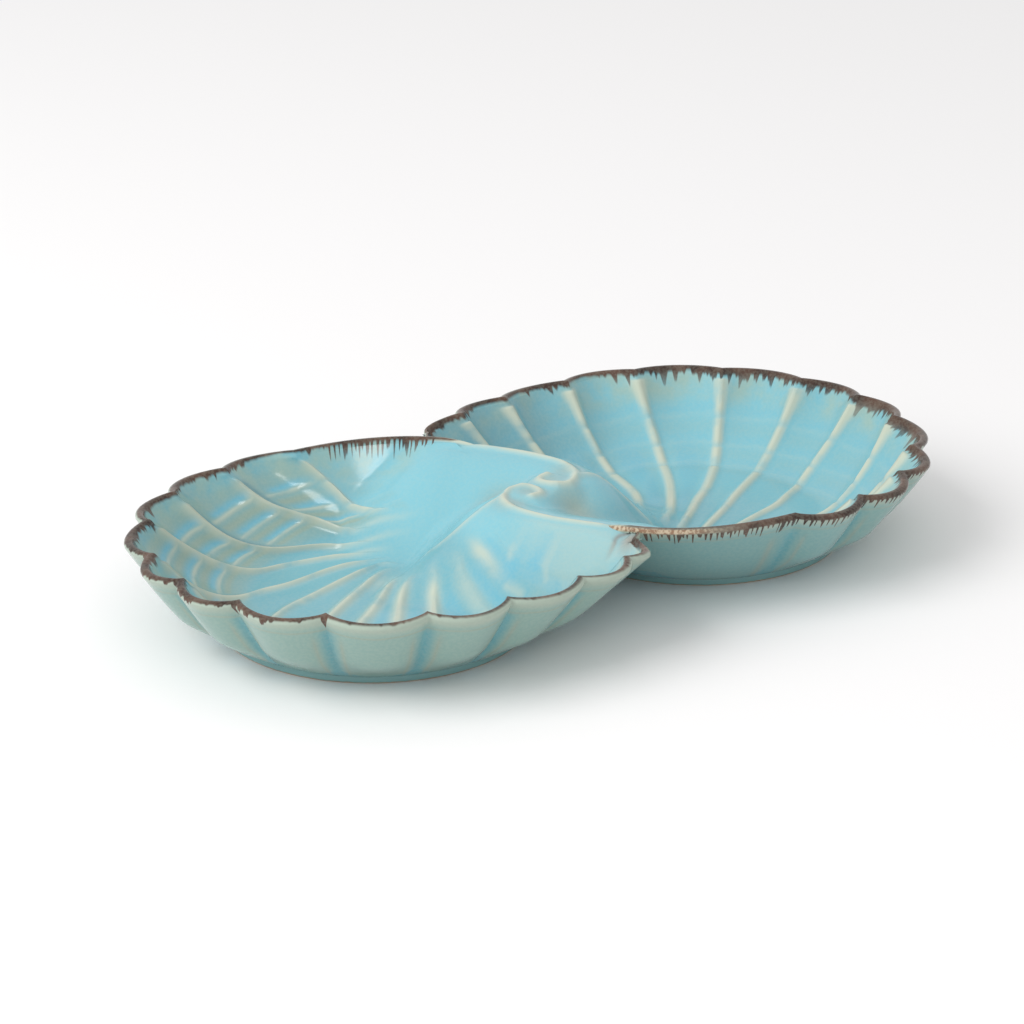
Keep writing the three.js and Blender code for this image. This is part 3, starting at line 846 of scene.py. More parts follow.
@dataclass(frozen=True)
class Bowl:
    """One bowl's skin: inside, lip, outside and underside, in columns about its middle."""

    form: DishForm
    fan: Fan
    relief: Relief
    # Grid of the skin
    steps_per_lobe: int = 28
    smooth_steps: int = 48
    waist_step: float = 0.6
    inside_rings: int = 132
    patch_rings: int = 40
    patch_share: float = 0.2
    lip_half_steps: int = 7
    outside_rings: int = 34
    flat_rings: int = 5
    # Body of the scroll, on the inside
    strip_half_length: float = 30.0
    strip_half_width: float = 6.0
    strip_swell: float = 14.0
    strip_swell_y: float = -11.0
    strip_swell_span: float = 13.0
    # How far the inside passes under the lips at the waist
    back_overlap: float = 0.8
    front_overlap: float = 2.6
    front_overlap_start: tuple[float, float] = (40.0, 47.0)
    front_overlap_end: tuple[float, float] = (58.5, 61.5)
    # How the distance to the lip's top is told to the glaze
    iron_y: float = 48.0
    no_iron: float = 60.0
    inside_stretch: float = 1.6
    outside_stretch: float = 1.2
    # Section of the lip
    lip_handle: float = 0.9
    lip_outer_handle: float = 1.15
    lip_bulge: float = 0.35
    lip_shoulder: float = 0.55
    # Sections that run the lip on at the front of the waist, then at its back
    front_points: tuple[Place, ...] = ((2.4, -57.8), (1.5, -59.5), (0.4, -61.6), (-0.9, -63.1))
    front_aims: tuple[Place, ...] = ((1.0, 0.1), (0.98, -0.2), (0.94, -0.34), (0.87, -0.5))
    front_drops: tuple[float, ...] = (0.9, 0.4, 0.1, 0.0)
    front_spacing: float = 2.0
    back_points: tuple[Place, ...] = (
        (0.3, 53.2), (1.6, 51.2), (2.9, 49.2), (4.2, 47.2), (5.5, 45.3), (6.8, 43.4))
    back_aims: tuple[Place, ...] = (
        (0.83, 0.56), (0.84, 0.54), (0.84, 0.54), (0.85, 0.52), (0.86, 0.5), (0.87, 0.48))
    back_drops: tuple[float, ...] = (0.1, 0.25, 0.5, 0.85, 1.3, 1.9)
    back_widths: tuple[float, ...] = (0.95, 0.88, 0.78, 0.66, 0.52, 0.4)
    back_depths: tuple[float, float] = (1.15, 1.6)
    back_spacing: float = 4.0
    back_place_step: float = 0.08
    # Where the lip's glaze is worn
    worn_places: tuple[float, float] = (12.6, 13.0)
    worn_depths: tuple[float, float] = (0.3, 1.4)
    # Outside under the lip's tip, by angle
    tip_turns: tuple[float, ...] = (-42.5, -40.2, -38.7, -37.4, -36.0, -34.0)
    tip_radii: tuple[float, ...] = (95.95, 95.9, 95.4, 94.9, 92.5, 86.85)
    tip_shares: tuple[float, ...] = (1.0, 1.0, 0.99, 0.97, 0.9, 0.69)
    # Glaze of the outside
    skirt: float = 2.6
    skirt_rise: float = 6.5
    skirt_curve: float = 2.5
    skirt_fade: float = 1.8
    groove_half: float = 0.085
    groove_top: tuple[float, float] = (27.0, 32.0)
    edge_place: float = 0.14
    edge_half: float = 0.03
    edge_top: tuple[float, float] = (22.0, 30.0)
    edge_tan: float = 0.4
    smooth_blue: float = 0.5
    smooth_places: tuple[float, float] = (8.5, 12.2)

    def lip_places(self) -> Array:
        """Places of the columns that end at the lip, clockwise from the first notch."""
        lobes = np.arange(len(self.form.lobe_widths) * self.steps_per_lobe) / self.steps_per_lobe
        return np.concatenate([lobes, self.fan.last - 1 + np.linspace(0.0, 1.0, self.smooth_steps + 1)])

    def lip_angles(self) -> Array:
        """Angles of those columns' ends."""
        return self.form.place_angle(self.lip_places())

    def waist_ys(self) -> Array:
        """Places along the joint where the waist's columns end.

        Returns:
            The places' y, from the back to the front.
        """
        back = self.form.bowl_x * math.tan(math.radians(self.form.edge_end + 360.0))
        front = self.form.bowl_x * math.tan(math.radians(self.form.first_notch))
        steps = np.arange(math.floor(back / self.waist_step), math.ceil(front / self.waist_step) - 1, -1)
        return steps * self.waist_step

    def strip_width(self, y: Array) -> Array:
        """Width of the scroll's body on the left, along the bowl's radius."""
        return self.strip_half_width + self.strip_swell * soft(y - self.strip_swell_y, self.strip_swell_span)

    def waist_ends(self, ys: Array) -> tuple[Array, Array]:
        """Ends of the waist's columns, which pass a little under the lips beside them.

        Args:
            ys: places along the joint, from the back to the front.

        Returns:
            The points where the columns end, and those where they come onto the scroll's body.
        """
        form = self.form
        middle = np.hypot(ys, form.bowl_x)
        aim = np.c_[np.full(len(ys), form.bowl_x), ys] / middle[:, None]
        edge = form.lip_radius(np.degrees(np.arctan2(ys, form.bowl_x))) - form.lip / 2
        overlap = self.front_overlap * ramp(-ys, *self.front_overlap_start)
        overlap = overlap * (1.0 - ramp(-ys, *self.front_overlap_end))
        end = np.where(ys > 0.0, np.minimum(middle, edge + self.back_overlap), middle + overlap)
        centre = np.array([-form.bowl_x, 0.0])
        return centre + aim * end[:, None], centre + aim * (end - self.strip_width(ys))[:, None]

    def on_scroll(self, lip_columns: int, ys: Array) -> Array:
        """Which quads of the inside belong to the scroll.

        Args:
            lip_columns: how many columns end at the lip.
            ys: places along the joint where the other columns end.

        Returns:
            True or False for each quad.
        """
        count, rings = lip_columns + len(ys), self.inside_rings - 1
        seated = np.abs(np.concatenate([np.full(lip_columns, FAR), ys])) <= self.strip_half_length + 1e-6
        on_strip = seated & np.roll(seated, -1)
        ring = np.tile(np.arange(rings), count)
        return np.repeat(on_strip, rings) & (ring >= self.inside_rings - self.patch_rings)

    def inside(self) -> tuple[Skin, Array]:
        """Inside of the left bowl, out to the lip and the joint.

        Returns:
            The skin, and which of its quads belong to the scroll.
        """
        form, fan = self.form, self.fan
        place, ys = self.lip_places(), self.waist_ys()
        inner = np.linspace(0.0, 1.0, self.inside_rings - self.patch_rings, endpoint=False)[None, :]
        outer = np.linspace(0.0, 1.0, self.patch_rings)[None, :]
        from_waist = np.minimum(place, fan.last - place)
        patch = mix(self.strip_half_width / fan.length(place), self.patch_share, ramp(from_waist, 0.0, 1.0))
        split = 1.0 - patch[:, None]
        share = np.hstack([split * inner, mix(split, 1.0, outer)])
        points, gap = fan.grid(place, share)
        joint, seat = self.waist_ends(ys)
        pole = np.array(fan.pole)
        waist = np.concatenate([pole + (seat - pole)[:, None, :] * inner[..., None],
                                mix(seat[:, None, :], joint[:, None, :], outer[..., None])], axis=1)
        rows, columns = len(place) + len(ys), self.inside_rings
        count = len(place) * columns
        x, y = np.concatenate([points, waist]).reshape(-1, 2).T
        rise, shares = self.relief.scroll(x, y)
        flutes, flute_shares = self.relief.flutes(place, share, gap)
        rise[:count] += flutes.ravel()
        for name, values in flute_shares.items():
            shares[name][:count] = np.clip(np.maximum(shares[name][:count], values.ravel()), 0.0, 1.0)
        swell = np.zeros(len(x))
        swell[:count] = np.repeat(form.swell(form.place_angle(place)), columns)
        height = form.top(x, y, swell) + rise
        radius, degrees = form.polar(x, y)
        near_lip = (np.arange(rows * columns) < count) | (np.abs(y) > self.iron_y)
        from_lip = (form.lip_radius(degrees) - radius) * self.inside_stretch
        shares["rim_d"] = np.where(near_lip, from_lip, self.no_iron)
        shares["rim_s"] = self.rim_place(degrees)
        shares["lobe"] = form.lobe_place(degrees)
        shares["outer"] = np.zeros(x.shape)
        shares["groove"] = np.zeros(x.shape)
        quads = grid_quads(rows, columns, True)
        quads[quads % columns == 0] = 0
        return Skin(np.c_[x, y, height], quads, shares), self.on_scroll(len(place), ys)

    def rim_place(self, degrees: Array) -> Array:
        """Length along the lip from the first notch to an angle.

        Args:
            degrees: angles about the bowl's middle.

        Returns:
            The lengths, in millimetres.
        """
        turn = np.linspace(self.form.first_notch, self.form.edge_end, 2000)
        radius = self.form.lip_radius(turn)
        x, y = radius * np.cos(np.radians(turn)), radius * np.sin(np.radians(turn))
        length = np.concatenate([[0.0], np.cumsum(np.hypot(np.diff(x), np.diff(y)))])
        return np.interp(-self.form.turned(degrees), -turn, length)

    def lip_profile(self, degrees: Array) -> tuple[Array, Array]:
        """Rounded lip in section: radius from its middle, and height under its top.

        Args:
            degrees: angles of the sections.

        Returns:
            Offsets and depths, one row to a section, from inside to outside.
        """
        form, handle = self.form, self.lip_handle
        half, rounding = form.lip / 2, form.lip_rounding
        thin = form.lip_half(form.lobe_place(degrees))[:, None] / half
        top = form.lip_top(degrees)[:, None]
        wall_slope = (form.wall_curve * (top - rounding - form.floor)) / (form.wall_run - half)
        gone = np.linspace(0.0, 1.0, self.lip_half_steps + 1)[None, :]
        keep = 1.0 - gone
        first, early, late, last = keep**3, 3 * keep**2 * gone, 3 * keep * gone**2, gone**3
        inside_r = -half * first + early * (handle / wall_slope - half) - late * handle
        inside_z = -rounding * first - early * (rounding - handle)
        outside_r = early * self.lip_outer_handle + late * (half + self.lip_bulge) + half * last
        outside_z = -late * self.lip_shoulder - rounding * last
        outside_shape = (len(top), self.lip_half_steps)
        offset = np.hstack([inside_r, np.broadcast_to(outside_r[:, 1:], outside_shape)])
        depth = np.hstack([np.broadcast_to(inside_z, inside_r.shape),
                           np.broadcast_to(outside_z[:, 1:], outside_shape)])
        return offset * thin, depth

    def band(self) -> Skin:
        """The lip of the left bowl, run on at both ends into what it meets.

        Returns:
            The lip's skin, one row to a section.
        """
        form = self.form
        lip, places = self.lip_angles(), self.lip_places()
        offset, depth = self.lip_profile(lip)
        away = np.c_[np.cos(np.radians(lip)), np.sin(np.radians(lip))]
        plan = away * form.lip_radius(lip)[:, None] - np.array([form.bowl_x, 0.0])
        top, length = form.lip_top(lip), self.rim_place(lip)
        before, after = np.arange(-len(self.front_points), 0), np.arange(1, len(self.back_points) + 1)
        plan = np.vstack([self.front_points, plan, self.back_points])
        away = np.vstack([self.front_aims, away, self.back_aims])
        top = np.concatenate([top[0] - np.array(self.front_drops), top, top[-1] - np.array(self.back_drops)])
        widths = np.array(self.back_widths)[:, None]
        depths = np.linspace(*self.back_depths, len(after))[:, None]
        offset = np.vstack([offset[:1].repeat(len(before), 0), offset, widths * offset[-1]])
        depth = np.vstack([depth[:1].repeat(len(before), 0), depth, depths * depth[-1]])
        length = np.concatenate([self.front_spacing * before, length, length[-1] + self.back_spacing * after])
        places = np.concatenate([places[:1].repeat(len(before)), places,
                                 places[-1] + self.back_place_step * after])
        x = plan[:, :1] + away[:, :1] * offset
        y = plan[:, 1:] + away[:, 1:] * offset
        z = top[:, None] + depth
        rows, columns = x.shape
        inside = np.arange(columns) <= self.lip_half_steps
        reach = np.where(inside[None, :], -offset * self.inside_stretch, depth * self.outside_stretch)
        shares = {name: np.zeros(rows * columns) for name in (*Relief.NAMES, "groove")}
        shares["lobe"] = np.repeat(places, columns)
        shares["wash"] = 1.0 - ramp(shares["lobe"], *self.worn_places)
        shares["pale"] = 1.0 - shares["wash"]
        shares["rib"] = shares["pale"] * (1.0 - ramp(-depth.ravel(), *self.worn_depths))
        shares["rim_d"] = reach.ravel()
        shares["rim_s"] = np.repeat(length, columns)
        shares["outer"] = np.tile(np.where(inside, 0.0, 1.0), rows)
        points = np.c_[x.ravel(), y.ravel(), z.ravel()]
        return Skin(points, grid_quads(rows, columns, False), shares)

    def outside(self) -> Skin:
        """Outside of the left bowl, from the lip down to the foot, and its flat underside.

        Returns:
            The skin, one row to a column of points.
        """
        form = self.form
        lip, ys = self.lip_angles(), self.waist_ys()[::2]
        degrees = np.concatenate([lip, np.degrees(np.arctan2(ys, form.bowl_x))])
        angle = np.radians(degrees)[:, None]
        shoulder = (form.lip_top(degrees) - form.lip_rounding)[:, None]
        half = form.lip_half(np.concatenate([self.lip_places(), np.ones(len(ys))]))[:, None]
        notch = form.notch_radius(degrees)[:, None]
        reach = notch + half - form.foot_radius
        middle = np.concatenate([np.full(len(lip), FAR), np.hypot(ys, form.bowl_x)])[:, None]
        joint = np.minimum((middle - form.foot_radius) / reach, 1.0) ** form.outer_curve
        down = np.linspace(1.0, 0.0, self.outside_rings)[None, :]
        share = joint * down
        radius = form.outer_radius(share, notch, half, form.swell(degrees)[:, None])
        at_tip = ((middle[:, 0] < FAR) & (degrees < self.tip_turns[-1]))[:, None]
        tip_share = np.interp(degrees, self.tip_turns, self.tip_shares)[:, None] * down
        tip_reach = np.interp(degrees, self.tip_turns, self.tip_radii)[:, None] - form.foot_radius
        share = np.where(at_tip, tip_share, share)
        radius = np.where(at_tip, form.foot_radius + tip_reach * down ** (1.0 / form.outer_curve), radius)
        height = form.underside + (shoulder - form.underside) * share
        flat = np.linspace(1.0, 0.0, self.flat_rings + 1)[1:] * form.foot_radius
        radius = np.hstack([radius, np.broadcast_to(flat, (len(degrees), self.flat_rings))])
        x = radius * np.cos(angle) - form.bowl_x
        y = radius * np.sin(angle)
        z = np.hstack([height, np.full((len(degrees), self.flat_rings), form.underside)])
        points = np.c_[x.ravel(), y.ravel(), z.ravel()]
        return Skin(points, grid_quads(*z.shape, True), self.outside_shares(degrees, z))

    def outside_shares(self, degrees: Array, z: Array) -> dict[str, Array]:
        """Glaze of the outside: blue in the grooves, over the foot and on the smooth edge, tan beside them.

        Args:
            degrees: angles of the columns.
            z: heights of the points, one row to a column.

        Returns:
            The glaze's shares by name.
        """
        columns = z.shape[1]
        place = self.form.lobe_place(degrees)
        part = place - np.floor(place)
        from_notch = np.abs(place - np.round(place))
        at_notch = soft(from_notch, self.groove_half) * (place < self.fan.last - 0.5)
        skirt = (self.skirt + self.skirt_rise * np.abs(2.0 * part - 1.0) ** self.skirt_curve)[:, None]
        low = 1.0 - ramp(z - skirt, 0.0, self.skirt_fade)
        edges = soft(from_notch - self.edge_place, self.edge_half) * (place < self.fan.last - 0.8)
        blue = np.maximum(at_notch[:, None] * (1.0 - ramp(z, *self.groove_top)), low)
        smooth = self.smooth_blue * ramp(place, *self.smooth_places)
        under_lip = (z - self.form.lip_top(degrees)[:, None]) * self.outside_stretch
        shares = {name: np.zeros(z.size) for name in Relief.NAMES}
        shares["lobe"] = np.repeat(place, columns)
        shares["rim_d"] = np.minimum(under_lip, 0.0).ravel()
        shares["rim_s"] = np.repeat(self.rim_place(degrees), columns)
        shares["outer"] = np.ones(z.size)
        shares["tan"] = (self.edge_tan * edges[:, None] * (1.0 - ramp(z, *self.edge_top))).ravel()
        shares["groove"] = np.clip(np.maximum(blue, smooth[:, None]), 0.0, 1.0).ravel()
        return shares


@dataclass(frozen=True)
class FootRing:
    """The low ring that a bowl stands on, bare clay below and glazed above."""

    form: DishForm
    chamfer: float = 0.8
    bevel: float = 0.3
    seat: float = 0.4
    glaze_edge: float = 1.4
    steps: int = 180

    def skin(self) -> Skin:
        """Closed ring under the left bowl.

        Returns:
            The skin, one row to a section, without shares.
        """
        outer, inner = self.form.foot_radius, self.form.foot_radius - self.form.foot_width
        top, bevelled = self.form.underside + self.seat, outer - self.bevel
        profile = np.array([
            (bevelled, top), (outer, top - 0.5), (outer, self.glaze_edge), (outer - 0.05, self.chamfer),
            (bevelled, 0.25), (outer - self.chamfer, 0.0), (inner + self.chamfer, 0.0),
            (inner, self.chamfer), (inner, top), (bevelled, top),
        ])
        angle = np.linspace(0.0, 2 * np.pi, self.steps, endpoint=False)[:, None]
        x = profile[None, :, 0] * np.cos(angle) - self.form.bowl_x
        y = profile[None, :, 0] * np.sin(angle)
        z = np.broadcast_to(profile[None, :, 1], x.shape)
        quads = grid_quads(self.steps, len(profile), True)[:, ::-1]
        return Skin(np.c_[x.ravel(), y.ravel(), z.ravel()], quads, {})


class Nodes:
    """Short words for building a material's nodes."""

    def __init__(self, name: str) -> None:
        """Starts an empty material.

        Args:
            name: the material's name.
        """
        self.material = bpy.data.materials.new(name)
        self.material.use_nodes = True
        self.tree = self.material.node_tree
        self.tree.nodes.clear()

    def add(self, kind: str, **settings: object) -> bpy.types.Node:
        """A new node.

        Args:
            kind: Blender's name for its type.
            settings: values for its own settings.

        Returns:
            The node.
        """
        node = self.tree.nodes.new(kind)
        for name, value in settings.items():
            setattr(node, name, value)
        return node

    def feed(self, socket: bpy.types.NodeSocket, value: object) -> None:
        """Links a socket to another, or sets its constant.

        Args:
            socket: the input that is fed.
            value: an output, a number or a colour.
        """
        if isinstance(value, bpy.types.NodeSocket):
            self.tree.links.new(value, socket)
        elif isinstance(value, tuple):
            socket.default_value = (*value, 1.0) if len(socket.default_value) == 4 else value
        else:
            socket.default_value = value

    def share(self, name: str) -> bpy.types.NodeSocket:
        """A share stored at the mesh's points."""
        return self.add("ShaderNodeAttribute", attribute_name=name).outputs["Fac"]

    def math(self, operation: str, a: object, b: object = 0.0) -> bpy.types.NodeSocket:
        """One sum.

        Args:
            operation: Blender's name for the sum.
            a: its first value.
            b: its second value.

        Returns:
            The result.
        """
        node = self.add("ShaderNodeMath", operation=operation)
        self.feed(node.inputs[0], a)
        self.feed(node.inputs[1], b)
        return node.outputs[0]

    def step(self, value: object, low: object, high: object) -> bpy.types.NodeSocket:
        """Smooth step.

        Args:
            value: what is measured.
            low: where the step is 0.
            high: where it is 1.

        Returns:
            A share from 0 to 1.
        """
        node = self.add("ShaderNodeMapRange", interpolation_type="SMOOTHSTEP")
        self.feed(node.inputs["Value"], value)
        self.feed(node.inputs["From Min"], low)
        self.feed(node.inputs["From Max"], high)
        return node.outputs["Result"]

    def between(self, share: object, low: object, high: object) -> bpy.types.NodeSocket:
        """Mix of two colours.

        Args:
            share: share of the second colour.
            low: the first colour.
            high: the second colour.

        Returns:
            The mixed colour.
        """
        node = self.add("ShaderNodeMix", data_type="RGBA")
        self.feed(node.inputs["Factor"], share)
        self.feed(node.inputs[6], low)
        self.feed(node.inputs[7], high)
        return node.outputs[2]

    def noise(self, scale: float, detail: float = 3.0, along: object = None) -> bpy.types.NodeSocket:
        """Noise over the object's space, or along one length when that is given.

        Args:
            scale: how fine it is.
            detail: how many finer layers it has.
            along: the length, or None.

        Returns:
            The noise, about 0.5.
        """
        if along is None:
            node = self.add("ShaderNodeTexNoise")
            self.feed(node.inputs["Vector"], self.add("ShaderNodeTexCoord").outputs["Object"])
        else:
            node = self.add("ShaderNodeTexNoise", noise_dimensions="1D")
            self.feed(node.inputs["W"], along)
        self.feed(node.inputs["Scale"], scale)
        self.feed(node.inputs["Detail"], detail)
        return node.outputs["Fac"]

    def finish(self, **inputs: object) -> bpy.types.Material:
        """Ends the material in a principled surface.

        Args:
            inputs: values for the surface's inputs, with underscores for blanks.

        Returns:
            The material.
        """
        surface = self.add("ShaderNodeBsdfPrincipled")
        for name, value in inputs.items():
            self.feed(surface.inputs[name.replace("_", " ")], value)
        self.tree.links.new(surface.outputs[0], self.add("ShaderNodeOutputMaterial").inputs["Surface"])
        return self.material


@dataclass(frozen=True)
class IronRim:
    """How wide the brown iron lies on one bowl's lip, and how far it runs, at places along the lip."""

    places: tuple[float, ...]
    width: tuple[float, ...]
    run_in: tuple[float, ...]
    run_out: tuple[float, ...]
    outer: tuple[float, ...]
    marked: tuple[int, ...]
    comb_from: float = 12.0
    speckle: float = 0.0
    smear: float = 4.0
    tick: float = 6.0
    tick_half: float = 0.018
    speckle_places: tuple[float, float] = (12.3, 12.75)

    def shares(self, lobe: Array) -> dict[str, Array]:
        """Widths and runs, in millimetres, at places along the lip.

        Args:
            lobe: the places.

        Returns:
            The lengths by name, and how far the runs hang in an even comb.
        """
        part = lobe - np.floor(lobe)
        marked = np.isin(np.floor(lobe), self.marked)
        smear = ramp(part, 0.35, 0.6) * (1.0 - ramp(part, 0.9, 0.98)) * marked
        notch = np.round(lobe)
        tick = soft(lobe - notch, self.tick_half) * np.isin(notch, self.marked)
        outer = np.interp(lobe, self.places, self.run_out)
        return {
            "iron_w": np.interp(lobe, self.places, self.width),
            "run_in": np.interp(lobe, self.places, self.run_in),
            "run_out": np.maximum(outer, self.smear * smear),
            "iron_o": np.interp(lobe, self.places, self.outer),
            "tick": self.tick * tick,
            "comb": ramp(lobe, self.comb_from, self.comb_from + 0.3),
            "speckle": self.speckle * ramp(lobe, *self.speckle_places),
        }


IRON_RIMS = {
    Side.LEFT: IronRim(
        places=(0, 0.3, 1, 4.5, 5.3, 6, 8, 10, 11, 11.7, 12, 12.3, 12.9, 13, 13.12, 13.3),
        width=(2.4, 1.8, 1.4, 1.6, 2.4, 3.2, 3.4, 2.9, 2.8, 2.1, 1.8, 2.2, 2.6, 2.8, 0.6, -3),
        run_in=(1, 1, 1, 1, 1.5, 2.5, 3.5, 3, 4.5, 2, 1.5, 7, 9, 0, 0, 0),
        run_out=(0.6, 0.4, 0.3, 0.4, 1.0, 1.4, 1.4, 0.6, 0.3, 0.2, 0.2, 0.2, 0.3, 0.3, 0.2, -3),
        outer=(0.3, 0.3, 0.3, 0.3, 0.6, 0.9, 0.9, 0.4, 0.2, 0.2, 0.2, 0.2, 0.2, 0.2, 0, 0),
        marked=(5, 6, 7, 8),
    ),
    Side.RIGHT: IronRim(
        places=(0, 2, 3, 4, 5, 6, 7, 8, 9, 10, 11, 12, 12.3, 13, 13.12, 13.3),
        width=(3.0, 3.0, 2.6, 3.0, 3.5, 3.5, 4.2, 4.6, 3.8, 2.6, 1.8, 1.4, 1.2, 1.2, 0.4, -3),
        run_in=(3, 4.5, 4, 5, 7, 6, 5, 7, 8, 4, 3, 1, 0.5, 0.5, 0, 0),
        run_out=(0.8, 0.5, 0.4, 0.3, 0.3, 0.5, 1.0, 1.7, 2.4, 3.4, 4.4, 5.6, 6.5, 6.5, 2, -3),
        outer=(0.3, 0.3, 0.3, 0.3, 0.3, 0.5, 1.0, 1.4, 1.6, 1.8, 1.9, 2.0, 2.0, 2.0, 0.5, 0),
        marked=(),
        comb_from=9.5,
        speckle=1.0,
    ),
}


@dataclass(frozen=True)
class GlazeFinish:
    """Turquoise glaze that thins to cream on ribs, with a brown iron rim that runs into it."""

    blue: Colour = (0.17, 0.43, 0.5)
    pale: Colour = (0.225, 0.53, 0.61)
    pool: Colour = (0.15, 0.47, 0.61)
    dome: Colour = (0.31, 0.4, 0.32)
    cream: Colour = (0.58, 0.61, 0.49)
    # Painted shade, laid beside the ribs and on the right bowl's wall behind the waist.
    shade: Colour = (0.13, 0.29, 0.34)
    wash: Colour = (0.36, 0.47, 0.38)
    # Tan of the outside's edge lines, also laid on the scroll as partly painted shade.
    tan: Colour = (0.35, 0.34, 0.24)
    celadon: Colour = (0.25, 0.39, 0.35)
    groove: Colour = (0.13, 0.36, 0.4)
    # Paler band under the lip: the glaze's own band, partly a painted highlight on the lip's roll.
    band: Colour = (0.4, 0.46, 0.38)
    smoke: Colour = (0.2, 0.16, 0.16)
    speckle: Colour = (0.3, 0.18, 0.11)
    sand: Colour = (0.6, 0.48, 0.34)
    iron: Colour = (0.032, 0.015, 0.01)
    iron_thin: Colour = (0.105, 0.056, 0.038)
    cloud_scale: float = 90.0
    grain_scale: float = 900.0
    tooth_scale: float = 0.4
    sway_scale: float = 0.3
    size_scale: float = 0.23
    patch_scale: float = 0.06
    comb_pitch: float = 3.0
    comb_sway: float = 9.0
    bump: float = 0.1
    roughness: float = 0.16
    ior: float = 1.45

    def make(self, name: str) -> bpy.types.Material:
        """The glaze's material.

        Args:
            name: its name.

        Returns:
            The material.
        """
        nodes = Nodes(name)
        cloud = nodes.noise(self.cloud_scale)
        grain = nodes.noise(self.grain_scale, 2.0)
        reach = nodes.share("rim_d")
        iron = self.iron_share(nodes, reach)
        inner, outer = self.inside(nodes, cloud), self.outside(nodes, cloud, reach)
        colour = nodes.between(nodes.share("outer"), inner, outer)
        brown = nodes.between(nodes.step(cloud, 0.35, 0.65), self.iron, self.iron_thin)
        lip = nodes.math("MULTIPLY", nodes.step(reach, -2.4, -1.6), nodes.step(reach, 0.1, -0.5))
        lip = nodes.math("MULTIPLY", lip, nodes.share("speckle"))
        flecked = nodes.between(nodes.step(grain, 0.4, 0.6), self.speckle, self.sand)
        colour = nodes.between(lip, colour, flecked)
        iron = nodes.math("MULTIPLY", iron, nodes.math("SUBTRACT", 1.0, nodes.math("MULTIPLY", lip, 0.85)))
        colour = nodes.between(iron, colour, brown)
        speck = nodes.math("MULTIPLY", nodes.step(grain, 0.35, 0.65), 0.08)
        colour = nodes.between(speck, colour, self.cream)
        bump = nodes.add("ShaderNodeBump")
        nodes.feed(bump.inputs["Height"], cloud)
        nodes.feed(bump.inputs["Strength"], self.bump)
        nodes.feed(bump.inputs["Distance"], MM)
        return nodes.finish(Base_Color=colour, Roughness=self.roughness, Normal=bump.outputs[0],
                            IOR=self.ior)

    def inside(self, nodes: Nodes, cloud: bpy.types.NodeSocket) -> bpy.types.NodeSocket:
        """Colour of the bowls' inside: blue where the glaze lies thick, cream where it thins, with painted
        shade and light.

        Args:
            nodes: the material in the making.
            cloud: soft noise.

        Returns:
            The colour.
        """
        colour = nodes.between(nodes.share("pale"), self.blue, self.pale)
        washed = nodes.math("MULTIPLY", nodes.share("wash"), nodes.step(cloud, 0.3, 0.7))
        colour = nodes.between(nodes.math("MULTIPLY", washed, 0.7), colour, self.wash)
        colour = nodes.between(nodes.share("dome"), colour, self.dome)
        # Painted shade beside the ribs and behind the waist.
        colour = nodes.between(nodes.share("shade"), colour, self.shade)
        colour = nodes.between(nodes.share("pool"), colour, self.pool)
        # Tan, on the scroll partly painted shade.
        colour = nodes.between(nodes.share("tan"), colour, self.tan)
        colour = nodes.between(nodes.share("smoke"), colour, self.smoke)
        worn = nodes.math("MULTIPLY", nodes.share("rib"), nodes.step(cloud, 0.1, 0.55))
        return nodes.between(nodes.math("MULTIPLY", worn, 0.9), colour, self.cream)

    def outside(self, nodes: Nodes, cloud: bpy.types.NodeSocket,
                reach: bpy.types.NodeSocket) -> bpy.types.NodeSocket:
        """Colour of the bowls' outside: celadon, paler under the lip, partly as a painted highlight, blue in
        the grooves.

        Args:
            nodes: the material in the making.
            cloud: soft noise.
            reach: distance inward from the lip's top, below 0 outside.

        Returns:
            The colour.
        """
        colour = nodes.between(nodes.share("groove"), self.celadon, self.groove)
        colour = nodes.between(nodes.share("tan"), colour, self.tan)
        level = nodes.math("ADD", reach, nodes.math("MULTIPLY", cloud, 1.5))
        line = nodes.math("MULTIPLY", nodes.step(level, -7.2, -6.2), nodes.step(level, -5.2, -6.2))
        colour = nodes.between(nodes.math("MULTIPLY", line, 0.35), colour, self.tan)
        # Paler band under the lip, partly a painted highlight on the lip's roll.
        return nodes.between(nodes.math("MULTIPLY", nodes.step(level, -6.5, -1.5), 0.75), colour, self.band)

